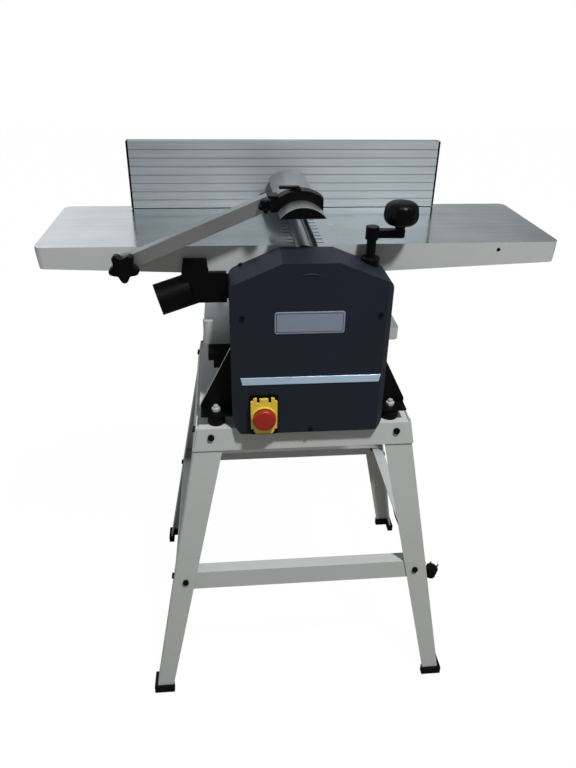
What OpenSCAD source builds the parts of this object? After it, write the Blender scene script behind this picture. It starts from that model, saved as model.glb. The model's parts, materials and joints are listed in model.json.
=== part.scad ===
// Combination planer thicknesser on a splayed sheet-metal stand.
// Millimetres, +Z up. The origin is on the floor, in the middle of the four feet.
// X runs along the feed, and Y runs from the operator's side to the back.

/* [Planing tables] */
// Height of the planing tables above the stand
machine_h = 313; // [305:1:320]
// Width of the tables, across the feed
table_w = 264; // [262:1:268]
// How far the tables' front edge lies in front of the stand's middle
table_set = 108; // [106:1:110]
// Outer end of each table, from the cutter's axis
table_end = 446; // [400:1:480]
// Lip of the infeed table, from the cutter's axis
infeed_lip = 21; // [21:0.5:24]
// Lip of the outfeed table, from the cutter's axis
outfeed_lip = 19; // [19:0.5:23]
// Thickness of the table's top plate
table_top_t = 10; // [8:0.5:11]
// Thickness of the table's skirt
table_skirt_t = 5; // [4:0.5:8]
// Depth of the skirt at the table's outer end
table_end_drop = 36; // [30:1:42]
// Depth of the skirt beside the machine
table_mid_drop = 50; // [46:0.5:50.5]
// Radius of the table's outer corners, seen from above
table_corner_r = 14; // [8:1:20]
// Number of comb slots in each lip
lip_slots = 13; // [6:1:14]
// Full depth of cut set by the infeed table
cut_depth = 3; // [1:0.5:3]

/* [Cutter] */
// Radius of the cutter block
cutter_r = 24.5; // [23:0.1:24.8]
// How far the knives stand out of the block
knife_out = 1.8; // [1:0.1:1.9]
// Number of knives
knife_count = 2; // [2:1:3]
// Radius of the cutter's journals
journal_r = 9; // [7:0.5:10]
// Radius of the feed rollers
roller_r = 14; // [12:0.5:14.5]
// Distance of each feed roller from the cutter, along the feed
roller_x = 58; // [57:0.5:60]
// Tip radius of the gear on each feed roller
roller_gear_r = 36; // [33:0.5:36]
// Tip radius of the pinion on the cutter
pinion_r = 23; // [20:0.5:23]
// Number of anti-kickback fingers
finger_count = 18; // [10:1:20]

/* [Thicknessing table] */
// Half the length of the thicknessing table
thick_half = 178; // [172:1:182]
// Depth of the thicknessing table, across the feed
thick_w = 248; // [244:1:249]
// How far its top lies below the planing tables, as photographed
thick_drop = 159; // [156:1:163]
// Height of the table's edge
thick_edge = 23; // [20:1:26]
// Radius of the lift spindles
spindle_r = 8; // [6:0.5:9]
// Lift spindles, to each side of the cutter's axis
spindle_x = 108; // [106:1:110]
// Radius of the front guide columns
column_r = 8; // [6:0.5:9]

/* [Stand] */
// Height of the stand
stand_h = 632; // [622:1:640]
// Half width of the stand at its top
stand_half_x = 195; // [192:1:200]
// Half depth of the stand at its top
stand_half_y = 182; // [180:1:186]
// Half width of the stand at the floor
foot_half_x = 312; // [290:1:325]
// Half depth of the stand at the floor
foot_half_y = 249; // [240:1:258]
// Thickness of the stand's sheet metal
sheet_t = 2.5; // [1.5:0.1:3]
// Width of a leg's front face at the top
leg_face_top = 54; // [45:1:60]
// Width of a leg's front face at the foot
leg_face_foot = 34; // [28:1:40]
// Width of a leg's side face at the top
leg_side_top = 46; // [40:1:55]
// Width of a leg's side face at the foot
leg_side_foot = 32; // [28:1:40]
// Depth of the aprons
apron_h = 45; // [40:1:50]
// Height of the crossbars' lower edge
cross_z = 271; // [260:1:300]
// Height of a crossbar's face
cross_h = 40; // [30:1:45]
// Width of a crossbar's top flange
cross_flange = 22; // [15:1:30]
// Height of the foot caps
cap_h = 18; // [14:1:24]

/* [Body] */
// Half the width of the base plate
base_half_x = 190; // [188:1:194]
// Back edge of the base plate, behind the stand's middle
base_back = 178; // [175:1:182]
// Thickness of the base plate
base_t = 6; // [4:0.5:7]
// Height of the rubber feet
rubber_h = 21; // [19:1:24]
// Thickness of the two side frames
frame_t = 6; // [5:0.5:7]
// Half the width of the side frames' upright part
frame_half = 122; // [118:1:124]
// Half the width of the side frames at the base
frame_flare = 187; // [180:1:189]
// Radius of the motor
motor_r = 36; // [30:1:38]
// Length of the motor
motor_len = 190; // [150:1:215]
// Radius of the motor's pulley
motor_pulley_r = 28; // [22:1:30]
// Radius of the cutter's pulley
cutter_pulley_r = 16; // [14:1:18]

/* [Front cover] */
// Half the width of the cover
cover_half = 134.5; // [132:0.5:138]
// Half the width of the cover's flat top
cover_top_half = 45; // [40:1:50]
// How far the cover reaches in front of the tables
cover_reach = 92; // [90:1:96]
// Drop of the cover's sloping shoulders
cover_shoulder = 37; // [34:1:42]
// How far the cover's lower edge hangs below the base plate
cover_under = 24; // [20:1:25]
// Thickness of the cover's wall
cover_wall = 3; // [2:0.5:4]
// Radius of the cover's lower right corner
cover_corner_r = 16; // [10:1:24]
// Radius of the cover's shoulders, where its slopes meet its sides
cover_shoulder_r = 18; // [12:1:20]
// Bevel of the cover's upright front edges
cover_bevel = 11; // [6:1:14]

/* [Switch] */
// Width of the switch plate
switch_w = 50; // [46:1:54]
// Height of the switch plate
switch_h = 79; // [76:1:80]
// Middle of the switch, to the left of the cutter's axis
switch_x = 76; // [74:1:80]
// Radius of the red stop button
stop_r = 20; // [16:0.5:20.5]
// Travel of the stop button
stop_travel = 4; // [2:0.5:4]
// Travel of the start button
start_travel = 3; // [2:0.5:3]

/* [Crank] */
// Length of the crank, from shaft to knob
crank_len = 46; // [42:1:48]
// Radius of the crank's knob
crank_knob_r = 29; // [24:1:30]
// Height of the crank's knob
crank_knob_h = 43; // [36:1:46]
// Height of the crank's arm above the tables
crank_rise = 15; // [12:1:20]

/* [Fence] */
// Left end of the fence, from the cutter's axis
fence_left = 315; // [280:1:340]
// Right end of the fence, from the cutter's axis
fence_right = 290; // [260:1:330]
// Height of the fence
fence_h = 125; // [110:1:140]
// Thickness of the fence's profile
fence_t = 22; // [18:1:22]
// Front face of the fence, behind the tables' front edge
fence_set = 243; // [240:1:243]
// Number of grooves along the fence's face
fence_grooves = 7; // [4:1:8]

/* [Cutter guard] */
// Side of the guard arm's square tube
arm_side = 22; // [18:1:24]
// Distance between the arm's two pivots
arm_len = 247; // [240:1:252]
// Drop of the arm's pivot below the table
arm_drop = 20; // [17:0.5:21]
// Radius of the arm's star knob
arm_knob_r = 25; // [20:0.5:27]
// Half the width of the guard's arched profile
guard_half = 37; // [34:0.5:38]
// Rise of the guard's arch
guard_rise = 18; // [15:0.5:20]
// Height of the guard's crown above the table
guard_top = 75; // [72:0.5:78]
// Thickness of the guard's wall
guard_wall = 3; // [2:0.5:4]

/* [Dust hood] */
// Left end of the hood's duct, from the cutter's axis
hood_left = 209; // [204:1:214]
// Length of the outlet nozzle
nozzle_len = 58; // [50:1:64]
// Radius of the outlet
nozzle_r = 27.5; // [25:0.5:29]
// Wall of the hood
hood_wall = 3; // [2:0.5:4]

/* [Mains lead] */
// Diameter of the mains lead
cord_d = 7; // [6:0.5:8]

/* [Hidden] */
$fn = 48;
// Overrun of every cut, running clearance and clearance between moving pieces
over = 1;
fit = 0.1;
clear = 0.4;
// Tables' edges and level
ft = -table_set;
bk = ft + table_w;
zt = stand_h + machine_h;
// Cutter's axis: the knives just reach the tables' level
knife_r = cutter_r + knife_out;
cut_gap = 0.7;
cut_z = zt - knife_r - cut_gap;
cutter_end = 5;
// Side frames
frame_gap_front = 38;
frame_gap_rear = 4;
pf1 = ft - frame_gap_front;
pf0 = pf1 - frame_t;
pr0 = bk + frame_gap_rear;
pr1 = pr0 + frame_t;
frame_top_drop = 10;
frame_flare_h = 141;
frame_foot_h = 13;
frame_foot_t = 4;
frame_foot_w = 26;
foot_front = pf0 - frame_foot_w;
frame_under = 7;
frame_corner = 2;
// Base
base_z = stand_h + rubber_h;
base_top = base_z + base_t;
rubber_r = 16;
rubber_in_x = 30;
rubber_x = base_half_x - rubber_in_x;
rubber_in_y = 17;
rubber_y = base_back - rubber_in_y;
stud_r = 4;
nut_r = 8;
nut_h = 6;
stud_out = 5;
// Table details
lip_t = 5;
lip_run = 16;
lip_drop = 30;
lip_nose = 20;
skirt_in = 95;
lip_skirt_drop = 28;
end_slope = 6;
slot_w = 4;
slot_len = 12;
slot_edge = 12;
boss_half = 14;
boss_in = 20;
face_hole_r = 3.5;
face_hole_x = 338;
face_hole_drop = 13;
// Small sunk mark in the infeed table's top
mark_x = 61;
mark_in = 120;
mark_half = 4;
mark_t = 2;
// Tie bars that carry the tables
tie_x = 115;
tie_half = 12;
tie_h = 20;
tie_drop = 54;
tie_top = zt - tie_drop;
guide_pin_r = 5;
guide_pin_y = 70;
// Rollers sit below the cutter's axis, so that they press on the wood
roller_gap = 1;
roller_z = cut_z - knife_r - roller_gap + roller_r;
roller_journal_r = 7;
gear_gap = 8;
gear_y0 = pr1 + gear_gap;
gear_t = 12;
tooth_h = 2.5;
gear_pitch = 8;
bearing_r = 15;
bearing_w = 14;
bearing_wall = 5;
rear_bearing_r = 17;
rear_bearing_w = 12;
finger_x = 88;
finger_drop = 52;
finger_z = zt - finger_drop;
finger_len = 20;
finger_w = 6;
finger_rod_r = 5;
finger_t = 4;
// Rear cover
rear_cover_half = 102;
rear_cover_depth = 34;
rear_cover_drop = 84;
rear_cover_low = zt - rear_cover_drop;
rear_cover_r = 10;
rear_cover_proud = 1;
// Drive
motor_x = 24;
motor_lift = 9;
motor_z = base_top + motor_r + motor_lift;
motor_in = 14;
motor_y0 = ft + motor_in;
motor_foot_half = 38;
motor_foot_h = 28;
motor_foot_in = 30;
motor_shaft_r = 7;
shaft_hole_r = 11;
pulley_out = 26;
pulley_y0 = pf0 - pulley_out;
pulley_w = 16;
flange_extra = 4;
flange_t = 2;
belt_t = 4;
belt_w = 11;
// Thicknessing table
thick_z = zt - thick_drop;
thick_in = 2;
thick_y0 = ft + thick_in;
thick_y1 = thick_y0 + thick_w;
thick_top_t = 8;
thick_wall = 6;
thick_r = 10;
spindle_out = 20;
spindle_y = ft - spindle_out;
column_x = 82;
column_short = 5;
column_top = tie_top - tie_h - column_short;
rear_column_r = 6;
rear_column_x = 150;
rear_column_y = (thick_y1 + pr0) / 2;
lug_t = 14;
lug_half = 12;
lift_x0 = 68;
lift_left = 170;
lift_right = 126;
step_x0 = 141;
step_x1 = 161;
step_h = 15;
corner_w = 18;
corner_d = 11;
corner_h = 22;
lift_back = 14;
nut_boss_r = 14;
nut_boss_h = 10;
sprocket_r = 13;
sprocket_lift = 8;
sprocket_z = base_top + sprocket_lift;
sprocket_t = 6;
chain_t = 3;
// Crank
collar_r = 16;
collar_h = 20;
collar_drop = 36;
crank_hub_r = 11;
crank_hub_h = 21;
crank_arm_w = 15;
crank_arm_t = 13;
crank_arm_up = 3;
crank_arm_z = zt + crank_rise + crank_arm_up;
crank_end_r = 9;
crank_pin_r = 5;
crank_neck_r = 8;
crank_neck_h = 8;
crank_knob_z = crank_arm_z + crank_arm_t + crank_neck_h;
flute_count = 12;
flute_r = 5;
flute_share = 1.1;
knob_waist_share = 0.72;
knob_rim_share = 0.3;
knob_crown_share = 0.8;
// Front cover
cover_front = ft - cover_reach;
cover_mid = 3.5;
cover_back_gap = 8;
cover_back = ft - cover_back_gap;
cover_top_drop = 1;
cover_top = zt - cover_top_drop;
cover_low = base_z - cover_under;
cover_rim_drop = 98;
cover_rim_low = zt - cover_rim_drop;
cover_rim_back = pf0;
cover_slope = cover_shoulder / (cover_half - cover_mid - cover_top_half);
frame_shoulder = cover_top - frame_under - (frame_half - cover_top_half) * cover_slope;
frame_top_half = cover_top_half + (cover_top - frame_under - zt + frame_top_drop) / cover_slope;
apron_gap = 2;
// Lower left corner of the cover, from its upright edge down to its lower edge
cover_cut = [[0, 34], [5, 11], [15, 0]];
strip_h = 14;
strip_t = 1.5;
strip_drop = 208.5;
strip_inset = 13.5;
strip_shift = 2;
strip_slant = 3;
screw_r = 4;
screw_h = 3;
cover_screw_x = 113.7;
cover_screw_drop = 90;
cover_screw_low = 6;
low_screw_x = 8;
slope_screw_x = 110;
slope_screw_in = 6;
// Switch
switch_lift = 1;
switch_low = cover_low + switch_lift;
switch_plate_t = 3;
switch_box_in = 5;
switch_depth = 20;
flap_gap = 4;
// Right half of the flap's outline, from its lower edge up
flap_edge = [
    [14, 0], [18, 5], [18, 10], [23, 10], [23, 64], [18.5, 66], [16, 71], [12, 71], [8, 65], [4, 69.5]
];
flap_h = flap_edge[6].y;
flap_pin_half = flap_edge[5].x;
flap_t = 5;
flap_lift = 7;
flap_low = switch_low + flap_lift;
flap_hinge_r = 3;
flap_wall = 4;
ear_x = 10;
ear_t = 4;
stop_lift = 33;
stop_z = flap_low + stop_lift;
stop_h = 11;
stop_stem_r = 7;
start_r = 8;
start_h = 4;
start_drop = 22;
start_z = switch_low + switch_h - start_drop;
// Fence
fence_y = ft + fence_set;
fence_gap = 1;
fence_wall = 2.5;
fence_rib = 3;
groove_d = 1;
groove_w = 2.4;
cap_t = 4;
hinge_x = 125;
hinge_out = 6;
hinge_y = fence_y + fence_t + hinge_out;
hinge_lift = 8;
hinge_z = zt + hinge_lift;
hinge_r = 6.5;
hinge_pin_r = 4;
hinge_w = 16;
hinge_ear_t = 5;
hinge_ear_r = 5.5;
bracket_t = 2;
bracket_half = 142;
// Guard
arm_gap = 10;
arm_y1 = ft - arm_gap;
arm_y0 = arm_y1 - arm_side;
arm_wall = 2;
arm_over = 13;
arm_tip_over = 7;
arm_z = zt - arm_drop;
arm_stud_r = 5;
arm_boss_r = 14;
arm_boss_len = 18;
knob_t = 18;
knob_lobes = 5;
notch_share = 0.36;
notch_place_share = 1.1;
tip_stud_r = 3;
tip_knob_r = 12;
tip_knob_t = 12;
guard_x = -10;
guard_out = 50;
guard_y0 = ft - guard_out;
guard_r = (guard_half * guard_half + guard_rise * guard_rise) / (2 * guard_rise);
guard_cz = zt + guard_top - guard_r;
guard_edge = zt + guard_top - guard_rise;
guard_gap = 8;
guard_len = fence_y - guard_gap - guard_y0;
end_cap_t = 4;
clamp_out = 5;
clamp_y0 = ft - clamp_out;
clamp_w = 26;
clamp_t = 15;
clamp_reach = 13;
clamp_under = 1;
clamp_ear_r = 6.5;
// The arm's upper pivot lies beside the clamp, and the arm's lower one follows from the arm's length
tip_gap = 9.3;
tip_up = 0.72;
tip_x = guard_x - guard_half - clamp_reach - tip_gap;
tip_z = zt + guard_top + tip_up;
arm_rise = asin((tip_z - arm_z) / arm_len);
arm_x = arm_len * cos(arm_rise) - tip_x;
lever_len = 31;
lever_w = 10;
lever_t = 5;
lever_in = 4;
lever_x = guard_x - lever_in;
lever_r = 4;
lever_lift = 1;
// Hood
hood_drop = 97;
hood_low = zt - hood_drop;
hood_top_drop = 52;
hood_top = zt - hood_top_drop;
hood_right = 134;
hood_out = 9.5;
hood_front = ft - hood_out;
hood_in = 130;
hood_back = ft + hood_in;
hood_lip_drop = 43;
hood_lip_top = zt - hood_lip_drop;
hood_lip_w = hood_out - clear;
grip_drop = 20;
grip_top = zt - grip_drop;
grip_w = 46;
grip_slope = 4;
scoop_right = 60;
scoop_drop = 80;
scoop_top = zt - scoop_drop;
scoop_in = 8;
scoop_w = 232;
scoop_y0 = ft + scoop_in;
scoop_y1 = scoop_y0 + scoop_w;
nozzle_root = 60;
nozzle_turn = 11.5;
nozzle_tilt = 14.5;
nozzle_in_x = 12;
nozzle_x = nozzle_in_x - hood_left;
nozzle_in_y = 10;
nozzle_y = ft + nozzle_in_y;
nozzle_drop = 79;
nozzle_z = zt - nozzle_drop;
// Infeed depth knob
depth_x = 115;
depth_y = ft + table_w / 2;
depth_r = 4;
depth_knob_r = 14;
depth_knob_h = 10;
depth_knob_sides = 10;
depth_knob_gap = 2;
depth_engage = 8;
// Lead
gland_x = 150;
gland_lift = 32;
gland_z = base_top + gland_lift;
gland_len = 32;
gland_r = 9;
gland_tip_r = 5;
gland_flange_r = 12;
gland_flange_t = 3;
plug_at = [346, 58, 16];
plug_turn = -35;
plug_boot = 20;
plug_len = 24;
plug_r = 16;
pin_r = 2.4;
pin_len = 19;
pin_gap = 9.5;
cord_sides = 8;
cord_steps = 4;
route = [
    [150, 198, 691], [150, 214, 691], [154, 236, 678], [166, 258, 644], [184, 276, 590],
    [206, 288, 510], [228, 296, 420], [250, 298, 320], [274, 296, 224], [303, 290, 130],
    [321, 288, 72], [334, 282, 26], [338, 262, 7], [340, 234, 4], [342, 200, 4],
    [344, 164, 4], [341, 126, 4], [335, 98, 6], [334, 74, 12], plug_at
];

// Shared shapes

module box_at(lo, hi) {
    translate(lo) cube(hi - lo);
}

module rod_x(y, z, r, x0, x1) {
    translate([x0, y, z]) rotate([0, 90, 0]) cylinder(r = r, h = x1 - x0);
}

module rod_y(x, z, r, y0, y1) {
    translate([x, y0, z]) rotate([-90, 0, 0]) cylinder(r = r, h = y1 - y0);
}

module rod_z(x, y, r, z0, z1) {
    translate([x, y, z0]) cylinder(r = r, h = z1 - z0);
}

// An outline in X and Z, given its thickness from y0 to y1
module plate_y(y0, y1) {
    translate([0, y1, 0]) rotate([90, 0, 0]) linear_extrude(y1 - y0) children();
}

// An outline in Y and Z, given its length from x0 to x1
module plate_x(x0, x1) {
    translate([x0, 0, 0]) rotate([90, 0, 90]) linear_extrude(x1 - x0) children();
}

module round_rect(lo, hi, r) {
    size = hi - lo;
    translate([lo.x + r, lo.y]) square([size.x - 2 * r, size.y]);
    translate([lo.x, lo.y + r]) square([size.x, size.y - 2 * r]);
    for (x = [lo.x + r, hi.x - r], y = [lo.y + r, hi.y - r])
        translate([x, y]) circle(r);
}

module flip_x(on) {
    if (on) mirror([1, 0, 0]) children();
    else children();
}

module flip_y(on) {
    if (on) mirror([0, 1, 0]) children();
    else children();
}

// A round grip with notches between its lobes; its axis is Z and its back lies at zero
module star(r, t, lobes) {
    difference() {
        cylinder(r = r, h = t);
        for (i = [0 : lobes - 1])
            rotate((i + 0.5) * 360 / lobes - 90) translate([r * notch_place_share, 0, -over])
                cylinder(r = r * notch_share, h = t + 2 * over);
    }
}

// Stand: its faces lean outwards, and sheets are drawn flat and laid on them

lean_x = (foot_half_x - stand_half_x) / stand_h;
lean_y = (foot_half_y - stand_half_y) / stand_h;
lean_a = atan(lean_y);
lean_b = atan(lean_x);
leg_top = stand_h - sheet_t;
leg_end = 5;
apron_z = stand_h - apron_h;
flange_w = 38;
// The side crossbars' flanges pass below those of the front and rear ones
side_cross_z = cross_z - 2 * sheet_t;
side_cross_end = 2 * (sheet_t + clear);
cap_out = 4;
cap_t_in = 9;
bolt_r = 3;
bolt_head_r = 6;
bolt_head_h = 4;
bolt_nut_r = 6;
bolt_nut_h = 5;
bolt_in = 24.5;
bolt_drop = 17;
cross_in = 4;

function leg_x(z) = stand_half_x + lean_x * (stand_h - z);
function leg_y(z) = stand_half_y + lean_y * (stand_h - z);
function pt_y(x, z) = [x, (z - stand_h) / cos(lean_a)];
function pt_x(y, z) = [y, (z - stand_h) / cos(lean_b)];

module on_face_y(inner, outer) {
    translate([0, stand_half_y, stand_h]) rotate([90 + lean_a, 0, 0])
        translate([0, 0, -outer]) linear_extrude(outer - inner) children();
}

module on_face_x(inner, outer) {
    translate([stand_half_x, 0, stand_h]) rotate([0, -lean_b, 0]) rotate([90, 0, 90])
        translate([0, 0, inner]) linear_extrude(outer - inner) children();
}

module bolt_on_y(x, z, seat) {
    translate([0, stand_half_y, stand_h]) rotate([lean_a, 0, 0])
        translate([x, seat, (z - stand_h) / cos(lean_a)]) rotate([-90, 0, 0]) children();
}

module bolt_on_x(y, z, seat) {
    translate([stand_half_x, 0, stand_h]) rotate([0, -lean_b, 0])
        translate([seat, y, (z - stand_h) / cos(lean_b)]) rotate([0, 90, 0]) children();
}

// The two bolts on each face of each leg: apron and crossbar
module at_stand_bolts() {
    mid = cross_z + cross_h / 2;
    side_mid = side_cross_z + cross_h / 2;
    for (sx = [false, true], sy = [false, true])
        flip_x(sx) flip_y(sy) {
            bolt_on_y(stand_half_x - bolt_in, stand_h - bolt_drop, sheet_t) children();
            bolt_on_x(stand_half_y - bolt_in, stand_h - bolt_drop, sheet_t) children();
            bolt_on_y(leg_x(mid) - bolt_in, mid, 0) children();
            bolt_on_x(leg_y(side_mid) - bolt_in, side_mid, 0) children();
        }
}

module bolt_holes() {
    at_stand_bolts() translate([0, 0, -bolt_nut_h - 2 * sheet_t])
        cylinder(r = bolt_r + fit, h = bolt_nut_h + 4 * sheet_t);
}

module leg_sheet() {
    edge = sheet_t / 2;
    on_face_y(-sheet_t, 0) polygon([
        pt_y(leg_x(leg_top) - leg_face_top, leg_top), pt_y(leg_x(leg_top) - edge, leg_top),
        pt_y(leg_x(leg_end) - edge, leg_end), pt_y(leg_x(leg_end) - leg_face_foot, leg_end)
    ]);
    on_face_x(-sheet_t, 0) polygon([
        pt_x(leg_y(leg_top) - leg_side_top, leg_top), pt_x(leg_y(leg_top) - edge, leg_top),
        pt_x(leg_y(leg_end) - edge, leg_end), pt_x(leg_y(leg_end) - leg_side_foot, leg_end)
    ]);
}

module leg(sx, sy) {
    color("gainsboro") difference() {
        flip_x(sx) flip_y(sy) leg_sheet();
        bolt_holes();
    }
}

module leg_front_left() { leg(true, true); }
module leg_front_right() { leg(false, true); }
module leg_rear_left() { leg(true, false); }
module leg_rear_right() { leg(false, false); }

module foot_caps() {
    x1 = leg_x(leg_end) + cap_out;
    y1 = leg_y(leg_end) + cap_out;
    color("black") for (sx = [false, true], sy = [false, true])
        flip_x(sx) flip_y(sy) difference() {
            union() {
                box_at([x1 - leg_face_foot - 2 * cap_out, y1 - cap_t_in - cap_out, 0], [x1, y1, cap_h]);
                box_at([x1 - cap_t_in - cap_out, y1 - leg_side_foot - 2 * cap_out, 0], [x1, y1, cap_h]);
            }
            leg_sheet();
        }
}

module apron_long() {
    difference() {
        union() {
            on_face_y(0, sheet_t) polygon([
                pt_y(-leg_x(stand_h), stand_h), pt_y(leg_x(stand_h), stand_h),
                pt_y(leg_x(apron_z), apron_z), pt_y(-leg_x(apron_z), apron_z)
            ]);
            box_at([sheet_t - stand_half_x, stand_half_y - flange_w, stand_h - sheet_t],
                [stand_half_x - sheet_t, stand_half_y + sheet_t / 2, stand_h]);
        }
        bolt_holes();
    }
}

module apron_front() { color("gainsboro") flip_y(true) apron_long(); }
module apron_rear() { color("gainsboro") apron_long(); }

module apron_sides() {
    y1 = stand_half_y - flange_w - clear;
    color("gainsboro") for (side = [false, true])
        flip_x(side) difference() {
            union() {
                on_face_x(0, sheet_t) polygon([
                    pt_x(-leg_y(stand_h), stand_h), pt_x(leg_y(stand_h), stand_h),
                    pt_x(leg_y(apron_z), apron_z), pt_x(-leg_y(apron_z), apron_z)
                ]);
                box_at([stand_half_x - flange_w, -y1, stand_h - sheet_t],
                    [stand_half_x + sheet_t / 2, y1, stand_h]);
            }
            bolt_holes();
        }
}

module crossbar_long() {
    top = cross_z + cross_h;
    end = sheet_t + clear;
    difference() {
        union() {
            on_face_y(-2 * sheet_t, -sheet_t) polygon([
                pt_y(-leg_x(top) + end, top), pt_y(leg_x(top) - end, top),
                pt_y(leg_x(cross_z) - end, cross_z), pt_y(-leg_x(cross_z) + end, cross_z)
            ]);
            box_at([-leg_x(top) + cross_in, leg_y(top) - 2 * sheet_t - cross_flange, top - sheet_t],
                [leg_x(top) - cross_in, leg_y(top) - sheet_t - sheet_t / 2, top]);
        }
        bolt_holes();
    }
}

module crossbar_front() { color("gainsboro") flip_y(true) crossbar_long(); }
module crossbar_rear() { color("gainsboro") crossbar_long(); }

module crossbar_sides() {
    top = side_cross_z + cross_h;
    end = side_cross_end;
    color("gainsboro") for (side = [false, true])
        flip_x(side) difference() {
            union() {
                on_face_x(-2 * sheet_t, -sheet_t) polygon([
                    pt_x(-leg_y(top) + end, top), pt_x(leg_y(top) - end, top),
                    pt_x(leg_y(side_cross_z) - end, side_cross_z),
                    pt_x(-leg_y(side_cross_z) + end, side_cross_z)
                ]);
                box_at([leg_x(top) - 2 * sheet_t - cross_flange, -leg_y(top) + end, top - sheet_t],
                    [leg_x(top) - sheet_t - sheet_t / 2, leg_y(top) - end, top]);
            }
            bolt_holes();
        }
}

module stand_bolts() {
    color("black") at_stand_bolts() {
        cylinder(r = bolt_head_r, h = bolt_head_h);
        translate([0, 0, -2 * sheet_t - bolt_nut_h])
            cylinder(r = bolt_r, h = 2 * sheet_t + bolt_nut_h + bolt_head_h);
        translate([0, 0, -2 * sheet_t - bolt_nut_h])
            cylinder(r = bolt_nut_r, h = bolt_nut_h, $fn = 6);
    }
}

// Base

module at_rubber_feet() {
    for (x = [-rubber_x, rubber_x], y = [-rubber_y, rubber_y])
        translate([x, y, 0]) children();
}

module base_plate() {
    color("gainsboro") difference() {
        translate([0, 0, base_z]) linear_extrude(base_t)
            round_rect([-base_half_x, pf1], [base_half_x, base_back], frame_corner);
        at_rubber_feet() translate([0, 0, base_z - over]) cylinder(r = stud_r, h = base_t + 2 * over);
        for (x = [-column_x, column_x])
            rod_z(x, spindle_y, column_r, base_z - over, base_top + over);
        for (x = [-rear_column_x, rear_column_x])
            rod_z(x, rear_column_y, rear_column_r, base_z - over, base_top + over);
    }
}

module rubber_feet() {
    color("black") at_rubber_feet() difference() {
        translate([0, 0, stand_h]) cylinder(r = rubber_r, h = rubber_h);
        translate([0, 0, stand_h + rubber_h / 2]) cylinder(r = stud_r, h = rubber_h);
    }
}

module base_studs() {
    low = stand_h + rubber_h / 2;
    color("silver") for (x = [-rubber_x, rubber_x], y = [-rubber_y, rubber_y]) {
        seat = y < 0 ? base_z + frame_foot_t : base_top;
        translate([x, y, low]) cylinder(r = stud_r, h = seat + nut_h + stud_out - low);
        translate([x, y, seat]) cylinder(r = nut_r, h = nut_h, $fn = 6);
    }
}

// Side frames and what joins them

// A side frame from its lower edge up, with a flat top between two sloping shoulders
module frame_outline(low, top_half, shoulder) {
    top = zt - frame_top_drop;
    polygon([
        [-frame_flare, low], [frame_flare, low], [frame_flare, base_z + frame_foot_h],
        [frame_half, base_z + frame_flare_h], [frame_half, shoulder], [top_half, top],
        [-top_half, top], [-frame_half, shoulder], [-frame_half, base_z + frame_flare_h],
        [-frame_flare, base_z + frame_foot_h]
    ]);
}

module frame_bores(y0, y1) {
    for (x = [-roller_x, roller_x])
        rod_y(x, roller_z, roller_journal_r + fit, y0, y1);
    rod_y(-finger_x, finger_z, finger_rod_r + fit, y0, y1);
}

// The front frame stands before the base plate, on a foot of its own
module front_frame() {
    color("#1c1c1e") difference() {
        union() {
            plate_y(pf0, pf1) frame_outline(base_z, frame_top_half, frame_shoulder);
            rod_y(0, cut_z, bearing_r + bearing_wall, pf1, pf0 + bearing_w + bearing_wall / 2);
            box_at([-frame_flare, foot_front, base_z], [frame_flare, pf0 + over, base_z + frame_foot_t]);
        }
        rod_y(0, cut_z, bearing_r, pf0 - over, pf0 + bearing_w);
        rod_y(0, cut_z, journal_r + bearing_wall / 2, pf0, pf1 + 2 * bearing_w);
        frame_bores(pf0 - over, pf1 + over);
        rod_y(motor_x, motor_z, shaft_hole_r, pf0 - over, pf1 + over);
        at_rubber_feet() translate([0, 0, base_z - over])
            cylinder(r = stud_r + fit, h = frame_foot_t + 2 * over);
    }
}

module rear_frame() {
    color("gainsboro") difference() {
        union() {
            plate_y(pr0, pr1)
                frame_outline(base_top, frame_half - frame_corner, zt - frame_top_drop - frame_corner);
            rod_y(0, cut_z, rear_bearing_r + bearing_wall, pr1, pr0 + rear_bearing_w);
        }
        rod_y(0, cut_z, rear_bearing_r, pr0 - over, pr0 + rear_bearing_w + over);
        frame_bores(pr0 - over, pr1 + over);
        rod_y(gland_x, gland_z, gland_r, pr0 - over, pr1 + over);
        at_rubber_feet() translate([0, 0, base_z])
            cylinder(r = nut_r + clear, h = base_t + nut_h + 2 * stud_out);
    }
}

module tie_bars() {
    color("dimgray") for (side = [-1, 1])
        difference() {
            box_at([side * tie_x - tie_half, pf1, tie_top - tie_h], [side * tie_x + tie_half, pr0, tie_top]);
            rod_z(side * spindle_x, spindle_y, spindle_r + fit, tie_top - tie_h - over, tie_top + over);
            if (side > 0) {
                rod_z(depth_x, depth_y, depth_r + fit, tie_top - tie_h - over, tie_top + over);
                for (y = [depth_y - guide_pin_y, depth_y + guide_pin_y])
                    rod_z(tie_x, y, guide_pin_r, tie_top - tie_h - over, tie_top + over);
            }
        }
    color("silver") for (y = [depth_y - guide_pin_y, depth_y + guide_pin_y])
        rod_z(tie_x, y, guide_pin_r, tie_top - tie_h, tie_top + tie_h);
}

module guide_columns() {
    color("silver") {
        for (x = [-column_x, column_x])
            rod_z(x, spindle_y, column_r, base_z, column_top);
        for (x = [-rear_column_x, rear_column_x])
            rod_z(x, rear_column_y, rear_column_r, base_z, column_top);
    }
}

// Cutter, rollers and drive

module ring_y(r, bore, y0, y1) {
    difference() {
        rod_y(0, cut_z, r, y0, y1);
        rod_y(0, cut_z, bore, y0 - over, y1 + over);
    }
}

module cutter_bearings() {
    color("silver") {
        ring_y(bearing_r, journal_r + fit, pf0, pf0 + bearing_w);
        ring_y(rear_bearing_r, journal_r + fit, pr0, pr0 + rear_bearing_w);
    }
}

knife_turn = 30;
knife_t = 3;
knife_depth = 15;
wedge_t = 4;

module at_knives() {
    for (i = [0 : knife_count - 1])
        translate([0, 0, cut_z]) rotate([0, knife_turn + i * 360 / knife_count, 0]) children();
}

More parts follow.
